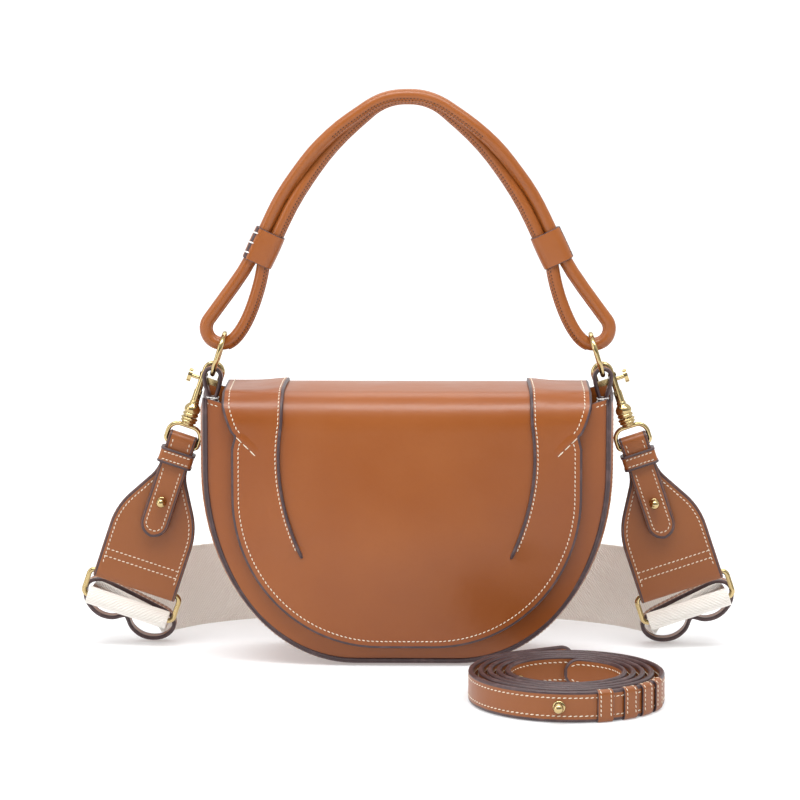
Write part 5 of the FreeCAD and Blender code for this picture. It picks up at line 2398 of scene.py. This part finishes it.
    def stud(self) -> None:
        """Build the ball stud that buttons the tab to the panel."""
        skin = Skin(self.name + "_ball_stud")
        turn = Matrix.Rotation(math.pi / 2, 4, "X")
        for y, seat, profile in (
            (-self.face, turn, ball_stud(3.0, 3.1, 1.5)),
            (self.face, turn.inverted(), stud_back(4.0)),
        ):
            foot = self.world(vec(0.0, y, -self.stud_drop))
            skin.lathe(profile, Matrix.Translation(foot) @ seat)
        piece = skin.finish([self.finishes.brass])
        settle(piece, self.body, "brass", self.name + "_end_stud")

    def build(self) -> None:
        """Build the whole strap end."""
        self.leather_piece()
        self.edges()
        self.keeper()
        self.stud()
        self.seams()


@dataclass
class ShoulderWebbing:
    """The cream webbing that runs behind the bag, and its two leather keepers."""

    finishes: Finishes
    width: float = 50.0
    thick: float = 1.6
    ring_drop: float = 152.0
    ring_y: float = 5.6
    roll: float = 4.4
    tail: float = 13.2
    lower: tuple[tuple[float, float, float], ...] = (
        (146.0, 36.0, 7.5), (149.0, 46.0, 2.4), (147.0, 56.0, 0.4), (138.0, 67.0, 0.4),
        (122.0, 82.0, 0.4), (92.0, 97.0, 0.4), (50.0, 108.0, 0.4), (0.0, 112.0, 0.4),
    )
    upper: tuple[tuple[float, float, float], ...] = (
        (41.0, 4.0, 28.6), (26.0, 8.0, 42.1), (9.0, 6.0, 48.8), (2.0, 2.0, 49.9),
        (0.0, 0.0, 50.0), (0.0, 0.0, 50.0), (0.0, 0.0, 50.0), (0.0, 0.0, 50.0),
    )
    tack_back: float = 3.2
    tack_rise: float = 2.35
    tack_inset: float = 2.5
    keeper_seat: tuple[float, float, float] = (167.3, 27.5, 21.1)
    keeper_tilt: float = 27.0
    keeper_depth: float = 8.0
    keeper_wall: float = 2.2
    keeper_half: Pairs = (
        (0.0, 7.2), (12.0, 7.1), (22.0, 6.6), (27.0, 3.2), (27.6, -1.5), (24.6, -6.6),
        (19.0, -10.0), (13.0, -11.0), (7.0, -9.4), (2.6, -5.8), (0.0, -4.0),
    )

    def edges(self, strap: StrapSide) -> tuple[list[Vector], list[Vector]]:
        """The right-hand lower and upper edges from the ring to the middle of the back.

        Args:
            strap: The right-hand strap end.

        Returns:
            Points along the lower and the upper edge.
        """
        half = self.width / 2
        y = self.ring_y + self.tail
        low = [strap.world(vec(-half, y, -self.ring_drop))]
        high = [strap.world(vec(half, y, -self.ring_drop))]
        for point, way in zip(self.lower, self.upper):
            low.append(Vector(point))
            high.append(Vector(point) + Vector(way))
        low.append(to_side(Vector(self.lower[-2]), -1))
        high.append(low[-1] + Vector(self.upper[-1]))
        return curve_through(low, 6)[:-6], curve_through(high, 6)[:-6]

    def fold_line(self) -> list[Vector]:
        """The webbing's way round the ring's lower bar and back under itself.

        Returns:
            Points along the way.
        """
        bar = vec(0.0, self.ring_y, -self.ring_drop)
        end = self.ring_y + self.tail
        round_bar = arc(bar, vec(z=self.roll), vec(y=-self.roll), 0.0, 180.0, 14)
        start = [
            vec(0.0, end + 3.0, bar.z + 0.9),
            vec(0.0, end - 4.0, bar.z + 1.6),
            vec(0.0, end - 8.5, bar.z + self.roll - 0.7),
        ]
        close = [vec(0.0, point.y, 2 * bar.z - point.z) for point in reversed(start)]
        return curve_through(start + round_bar + close, 2)

    def build(self) -> None:
        """Build both halves of the webbing and the keepers."""
        strap = StrapSide(self.finishes, 1)
        low, high = self.edges(strap)
        middles = Track([(a + b) / 2 for a, b in zip(low, high)])
        fold = Track(self.fold_line())
        across = evenly(0.0, self.width, 14)
        for side in SIDES:
            name = SIDE_NAMES[side]
            body = name + "_strap_end"
            skin = Skin(name + "_webbing")

            def long_run(across: float, reach: float) -> Vector:
                """A point of the run behind the bag by its place across and its reach."""
                number, share = middles.spot(reach)
                a = low[number].lerp(low[number + 1], share)
                b = high[number].lerp(high[number + 1], share)
                return to_side(a.lerp(b, across / self.width), side)

            def roll(across: float, reach: float) -> Vector:
                """A point of the fold round the ring by its place across and its reach."""
                point = fold.at(reach)
                return to_side(strap.world(vec(across - self.width / 2, *point.yz)), side)

            skin.sheet(across, middles.marks, long_run, side < 0)
            skin.sheet(across, fold.marks, roll, side < 0)
            piece = skin.finish([self.finishes.webbing], self.thick, Grow.BOTH, 0.35)
            start, end = (side * 0.150, 0.060, 0.02), (side * 0.165, 0.018, 0.02)
            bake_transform(piece)
            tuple(start)
            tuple(end)
            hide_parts("strap_webbing")
            LOG.info("%s bends between bag and %s", piece.name, body)
            self.tacks(side, strap)
            self.keeper(side)

    def tacks(self, side: int, strap: StrapSide) -> None:
        """Sew the webbing's loop shut.

        Args:
            side: One for the right, minus one for the left.
            strap: The right-hand strap end.
        """
        name = SIDE_NAMES[side]
        thread = Stitching(name + "_webbing_tacks", pitch=2.2, length=1.7)
        y = self.ring_y + self.tail - self.tack_back
        half = self.width / 2
        for way in SIDES:
            out = to_side(strap.turn(vec(z=way)), side)
            seam = []
            for x in evenly(-half + self.tack_inset, half - self.tack_inset, 10):
                point = strap.world(vec(x, y, -self.ring_drop + way * self.tack_rise))
                seam.append((to_side(point, side), out))
            thread.row(seam)
        settle(thread.finish(self.finishes.thread), name + "_strap_end", "webbing")

    def keeper_line(self) -> Track:
        """The loop's inner outline: flat above, with two lobes below."""
        right = curve_through([vec(x, 0.0, z) for x, z in self.keeper_half], 4)
        return Track(right + mirrored(right[1:-1]) + [right[0]])

    def keeper(self, side: int) -> None:
        """Build one leather keeper.

        Args:
            side: One for the right, minus one for the left.
        """
        name = SIDE_NAMES[side]
        ring = self.keeper_line()
        lean = math.radians(self.keeper_tilt)
        seat = self.keeper_seat

        def set_on(point: Vector, y: float) -> Vector:
            """The place of a point of the outline at a depth."""
            x = seat[0] + point.x * math.cos(lean) - point.z * math.sin(lean)
            z = seat[2] + point.x * math.sin(lean) + point.z * math.cos(lean)
            return vec(side * x, seat[1] + y, z)

        def outward(reach: float) -> Vector:
            """The outline's outward direction at a length."""
            way = ring.way(reach)
            return vec(-way.z, 0.0, way.x)

        across = evenly(0.0, self.keeper_depth, 4)
        skin = hoop(name + "_webbing_loop", across, ring, set_on, side > 0)
        piece = skin.finish(self.finishes.cut_strap, self.keeper_wall, Grow.OUTWARD, 0.45)
        settle(piece, "bag", "strap_leather", name + "_webbing_keeper")
        deep = self.keeper_wall / 2
        lines = []
        for y in (0.5, self.keeper_depth - 0.5):
            reaches = ring.marks[:-1]
            line = [set_on(ring.at(reach) + outward(reach) * deep, y) for reach in reaches]
            lines.append(tidied(line, 0.4))
        piece = beads(name + "_loop_edges", lines, deep + 0.12, self.finishes.edge)
        settle(piece, "bag", "strap_leather")
        thread = Stitching(name + "_loop_stitching", pitch=2.8)
        for y in (1.7, self.keeper_depth - 1.7):
            seam = []
            for reach in evenly(0.0, ring.length, 60):
                point = ring.at(reach % ring.length)
                spot = set_on(point + outward(reach % ring.length) * self.keeper_wall, y)
                seam.append((spot, (spot - set_on(point, y)).normalized()))
            thread.row(seam)
        settle(thread.finish(self.finishes.thread), "bag", "strap_leather")


# Narrow strap


@dataclass
class NarrowStrap:
    """The narrow leather strap, coiled on its edge, with two studs and four keepers."""

    finishes: Finishes
    x: float = 91.0
    y: float = -121.0
    radius: float = 54.0
    steps: tuple[float, ...] = (2.2, 3.3, 2.5, 2.5, 2.5, 2.5, 2.5, 2.5, 2.5, 2.5)
    tip_angle: float = 120.0
    tip_length: float = 36.0
    width: float = 15.0
    thick: float = 3.0
    lift: float = 1.55
    run_step: float = 2.6
    end_rows: tuple[float, ...] = (0.15, 0.5, 1.0, 1.7, 2.6, 3.6, 4.8, 6.2)
    end_length: float = 7.4
    edge_inset: float = 0.35
    seam_inset: float = 2.5
    keeper_angles: tuple[float, ...] = (-70.0, -53.0, -39.0, -25.5)
    keeper_length: float = 9.0
    keeper_wall: float = 1.2
    keeper_gap: float = 0.25
    keeper_corner: float = 2.6
    keeper_seam: float = 0.62
    stud_angle: float = -97.0
    inner_stud_angle: float = 160.0

    def turns(self) -> list[tuple[float, float, float, float]]:
        """The coil's half turns: centre y, radius, start and end angle.

        Returns:
            The half turns from the outer one in.
        """
        turns = []
        centre, radius = self.y, self.radius
        for number, step in enumerate(self.steps):
            start = 90.0 + 180.0 * number
            turns.append((centre, radius, start if number else self.tip_angle, start + 180.0))
            centre += step if number % 2 else -step
            radius -= step
        return turns

    def spot(self, centre: float, radius: float, angle: float, z: float = 0.0) -> Vector:
        """A point at a radius, an angle in degrees and a height about a half turn's centre."""
        turn = math.radians(angle)
        return vec(self.x + radius * math.cos(turn), centre + radius * math.sin(turn), z)

    def line(self) -> Track:
        """The strap's middle line from the outer tip to the inner end.

        Returns:
            The line.
        """
        lean = math.radians(self.tip_angle)
        tip = vec(math.sin(lean), -math.cos(lean)) * self.tip_length
        turns = self.turns()
        start = self.spot(*turns[0][:3])
        points = [start + tip * share for share in evenly(1.0, 0.0, 14)[:-1]]
        for centre, radius, low, high in turns:
            count = math.ceil(math.radians(high - low) * radius / self.run_step)
            points += [self.spot(centre, radius, angle) for angle in evenly(low, high, count)[:-1]]
        centre, radius, _, high = turns[-1]
        return Track(tidied(points + [self.spot(centre, radius, high)]))

    def out(self, track: Track, reach: float) -> Vector:
        """Direction from the strap's outer face."""
        way = (track.at(reach + 1.5) - track.at(reach - 1.5)).normalized()
        return vec(way.y, -way.x)

    def span(self, reach: float, length: float) -> tuple[float, float]:
        """Lower and upper edge of the strap, drawn in at the rounded ends.

        Args:
            reach: Length from the outer tip.
            length: The strap's whole length.

        Returns:
            Heights of the two edges over the strap's foot.
        """
        half = self.width / 2
        ends = min(reach, length - reach)
        share = 1.0
        if ends < half:
            share = math.sqrt(max(0.004, 1 - (1 - ends / half) ** 2))
        return half - half * share, half + half * share

    def rows(self, track: Track) -> list[float]:
        """Lengths of the mesh's rows, close together at the rounded ends."""
        last = track.length - self.end_length
        middle = [mark for mark in track.marks if self.end_length < mark < last]
        return [*self.end_rows, *middle, *(track.length - end for end in reversed(self.end_rows))]

    def leather_piece(self, track: Track) -> None:
        """Build the strap's leather and its painted edge.

        Args:
            track: The strap's middle line.
        """
        skin = Skin("narrow_strap_leather")
        rows = self.rows(track)

        def place(share: float, reach: float) -> Vector:
            """A point by its share of the width and its reach."""
            low, high = self.span(reach, track.length)
            return vec(*track.at(reach).xy, self.lift + low + (high - low) * share)

        skin.sheet(evenly(0.0, 1.0, 4), rows, place)
        piece = skin.finish(self.finishes.cut_strap, self.thick, Grow.BOTH, 0.45)
        settle(piece, "narrow_strap", "strap_leather", "narrow_strap")
        low_line, high_line = [], []
        for reach in rows:
            low, high = self.span(reach, track.length)
            point = track.at(reach).xy
            low_line.append(vec(*point, self.lift + low + self.edge_inset))
            high_line.append(vec(*point, self.lift + high - self.edge_inset))
        loop = tidied(low_line + list(reversed(high_line)), 0.4)
        size = self.thick / 2 + 0.06
        piece = beads("narrow_strap_edges", [loop], size, self.finishes.edge)
        settle(piece, "narrow_strap", "strap_leather")

    def seams(self, track: Track) -> None:
        """Sew along both edges on both faces.

        Args:
            track: The strap's middle line.
        """
        thread = Stitching("narrow_strap_stitching", pitch=3.0, length=2.1)
        inset = self.seam_inset
        for way in SIDES:
            for upper in (False, True):
                seam = []
                for reach in evenly(inset, track.length - inset, 540):
                    low, high = self.span(max(0.0, reach - 0.5), track.length)
                    level = high - inset if upper else low + inset
                    out = self.out(track, reach) * way
                    point = track.at(reach) + out * (self.thick / 2)
                    point.z = self.lift + min(max(level, inset), self.width - inset)
                    seam.append((point, out))
                thread.row(seam, way)
        settle(thread.finish(self.finishes.thread), "narrow_strap", "strap_leather")

    def studs(self) -> None:
        """Build the two ball studs."""
        turns = self.turns()
        for name, turn, angle, way in (
            ("narrow_front_stud", turns[0], self.stud_angle, 1),
            ("narrow_inner_stud", turns[-2], self.inner_stud_angle, -1),
        ):
            skin = Skin(name + "_brass")
            out = vec(math.cos(math.radians(angle)), math.sin(math.radians(angle))) * way
            point = self.spot(turn[0], turn[1], angle, self.lift + self.width / 2)
            for facing, profile in ((out, ball_stud(2.8, 3.6, 1.3)), (-out, stud_back(3.4))):
                skin.lathe(profile, seated(point + facing * (self.thick / 2), facing))
            settle(skin.finish([self.finishes.brass]), "narrow_strap", "brass", name)

    def keepers(self) -> None:
        """Build the four leather keepers on the outer turn."""
        centre, radius = self.turns()[1][:2]
        half_x = self.thick / 2 + self.keeper_gap + self.keeper_wall
        half_y = self.width / 2 + self.keeper_gap + self.keeper_wall
        ring = soft_box(half_x, half_y, self.keeper_corner)
        sewn = evenly(0.6 - 2 * (half_y - self.keeper_corner), half_y + 1.6, 26)
        middle = self.lift + self.width / 2
        half = math.degrees(self.keeper_length / radius) / 2
        for number, angle in enumerate(self.keeper_angles):
            name = "narrow_keeper_%d" % (number + 1)

            def set_on(point: Vector, turn: float) -> Vector:
                """The place of a point of the loop's outline at an angle along the turn."""
                return self.spot(centre, radius + point.x, angle + turn, middle + point.y)

            skin = hoop(name + "_leather", evenly(-half, half, 5), ring, set_on, False)
            piece = skin.finish(self.finishes.cut_strap, self.keeper_wall, Grow.INWARD, 0.35)
            settle(piece, name, "strap_leather", name)
            thread = Stitching(name + "_stitching", pitch=2.5, length=1.8)
            for turn in (-half * self.keeper_seam, half * self.keeper_seam):
                seam = []
                for reach in (mark % ring.length for mark in sewn):
                    point, way = ring.at(reach), ring.way(reach)
                    spot = set_on(point, turn)
                    out = set_on(point + vec(way.y, -way.x), turn) - spot
                    seam.append((spot, out.normalized()))
                thread.row(seam)
            settle(thread.finish(self.finishes.thread), name, "strap_leather")

    def build(self) -> None:
        """Build the strap, its thread, studs and keepers."""
        track = self.line()
        self.leather_piece(track)
        self.seams(track)
        self.studs()
        self.keepers()


# Brass


@dataclass
class Hardware:
    """Brass pieces and magnets that keep their CAD shape."""

    finishes: Finishes
    nodes: dict[str, bpy.types.Object]
    brass: tuple[str, ...] = ("oval_ring", "snap_hook", "hook_bolt", "swivel_eye", "strap_ring")
    ball: Pairs = (
        (2.3, 19.6), (2.75, 20.2), (2.9, 20.8), (2.7, 21.3), (2.9, 21.8), (3.7, 22.6),
        (4.5, 23.8), (4.85, 25.0), (4.7, 26.2), (4.3, 27.0), (3.9, 27.4), (4.5, 27.7),
        (4.75, 28.2), (4.6, 28.9), (4.0, 29.3), (1.7, 29.4),
    )
    collar: Pairs = (
        (1.7, 29.95), (4.3, 29.97), (4.9, 30.3), (5.1, 30.8), (4.9, 31.3), (4.35, 31.6),
        (4.2, 31.8), (4.6, 32.1), (4.75, 32.6), (4.5, 33.1), (3.9, 33.4), (3.5, 33.7),
        (3.7, 34.1), (3.6, 34.6), (3.0, 35.2), (2.0, 35.6),
    )

    def dress(self, node: str, material: bpy.types.Material) -> None:
        """Give a CAD node its finish."""
        slots = self.nodes[node].data.materials
        slots.clear()
        slots.append(material)
        LOG.info("%s keeps its CAD shape", node)

    def rings(self, side: int) -> None:
        """Turn the ball and rings that cover the swivel's two halves.

        Args:
            side: One for the right, minus one for the left.
        """
        strap = StrapSide(self.finishes, side)
        seat = seated(strap.world(vec()), strap.turn(vec(z=1.0)))
        for name, body, profile in (
            (strap.name + "_hook_ball", "bag", self.ball),
            (strap.name + "_swivel_rings", strap.body, self.collar),
        ):
            skin = Skin(name)
            skin.lathe([(radius, -drop) for radius, drop in profile], seat, 36)
            settle(skin.finish([self.finishes.brass]), body, "brass")

    def build(self) -> None:
        """Dress every node that stays, and cover the swivels."""
        for side in SIDES:
            for name in self.brass:
                self.dress(SIDE_NAMES[side] + "_" + name, self.finishes.brass)
            self.rings(side)
        self.dress("front_magnet", self.finishes.steel)


# Studio


@dataclass
class Studio:
    """Floor, soft lights and the camera, in metres."""

    lens: float = 148.4
    near: float = 0.05
    eye: tuple[float, float, float] = (0.0272, -1.9139, 0.421)
    aim: tuple[float, float, float] = (-0.0044, 0.0, 0.1512)
    floor_half: float = 30.0
    paper: Colour = opaque(0.64, 0.64, 0.65)
    lights: tuple[tuple[str, tuple[float, float, float], tuple[float, float], float], ...] = (
        ("top_box", (0.0, -0.62, 1.45), (1.9, 0.40), 22.0),
        ("back_box", (0.0, 0.9, 1.6), (1.8, 0.8), 9.0),
        ("left_box", (-1.9, -0.9, 0.8), (0.7, 1.4), 9.0),
    )
    light_aim: float = 0.12
    sky: float = 0.95
    sky_low: float = 0.21
    sky_lean: tuple[float, float, float] = (0.0, 0.62, 0.78)
    sky_band: tuple[float, float] = (-0.55, 0.55)

    def camera(self) -> None:
        """Set up the camera."""
        data = bpy.data.cameras.new("camera")
        data.lens = self.lens
        data.clip_start = self.near
        camera = bpy.data.objects.new("camera", data)
        bpy.context.scene.collection.objects.link(camera)
        camera.location = self.eye
        way = Vector(self.aim) - Vector(self.eye)
        camera.rotation_euler = way.to_track_quat("-Z", "Y").to_euler()
        bpy.context.scene.camera = camera

    def floor(self) -> None:
        """Lay a wide pale floor."""
        mesh = bmesh.new()
        bmesh.ops.create_grid(mesh, x_segments=8, y_segments=8, size=self.floor_half)
        for face in mesh.faces:
            face.smooth = True
        data = bpy.data.meshes.new("floor")
        mesh.to_mesh(data)
        mesh.free()
        floor = bpy.data.objects.new("floor", data)
        data.materials.append(Floor("studio_paper", self.paper).make())
        bpy.context.scene.collection.objects.link(floor)

    def lamps(self) -> None:
        """Hang the soft lights and turn them to the bag."""
        for name, place, (wide, deep), power in self.lights:
            data = bpy.data.lights.new(name, "AREA")
            data.shape = "RECTANGLE"
            data.size = wide
            data.size_y = deep
            data.energy = power
            light = bpy.data.objects.new(name, data)
            light.location = place
            way = vec(z=self.light_aim) - Vector(place)
            light.rotation_euler = way.to_track_quat("-Z", "Y").to_euler()
            bpy.context.scene.collection.objects.link(light)

    def backdrop(self) -> None:
        """Light the surroundings, bright above and behind and dim in front."""
        world = bpy.data.worlds.new("studio")
        world.use_nodes = True
        tree = world.node_tree
        back = tree.nodes["Background"]
        back.inputs["Strength"].default_value = self.sky
        way = tree.nodes.new("ShaderNodeTexCoord")
        lean = tree.nodes.new("ShaderNodeVectorMath")
        lean.operation = "DOT_PRODUCT"
        lean.inputs[1].default_value = self.sky_lean
        fade = tree.nodes.new("ShaderNodeMapRange")
        fade.interpolation_type = "SMOOTHSTEP"
        for key, level in zip(
            ("From Min", "From Max", "To Min", "To Max"), (*self.sky_band, self.sky_low, 1.0)
        ):
            fade.inputs[key].default_value = level
        tree.links.new(way.outputs["Generated"], lean.inputs[0])
        tree.links.new(lean.outputs["Value"], fade.inputs["Value"])
        tree.links.new(fade.outputs["Result"], back.inputs["Color"])
        bpy.context.scene.world = world

    def build(self) -> None:
        """Set up the whole studio."""
        self.camera()
        self.floor()
        self.lamps()
        self.backdrop()
        bpy.context.scene.view_settings.view_transform = "Standard"


def main() -> None:
    """Build every sub-assembly in order."""
    logging.basicConfig(level=logging.INFO, format="%(message)s")
    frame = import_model()
    Studio().build()
    finishes = Finishes()
    body = Body(finishes)
    body.build()
    Flap(finishes, body).build()
    RingTabs(finishes).build()
    Handle(finishes).build()
    for side in SIDES:
        StrapSide(finishes, side).build()
    ShoulderWebbing(finishes).build()
    NarrowStrap(finishes).build()
    Hardware(finishes, frame["nodes"]).build()


if __name__ == "__main__":
    main()
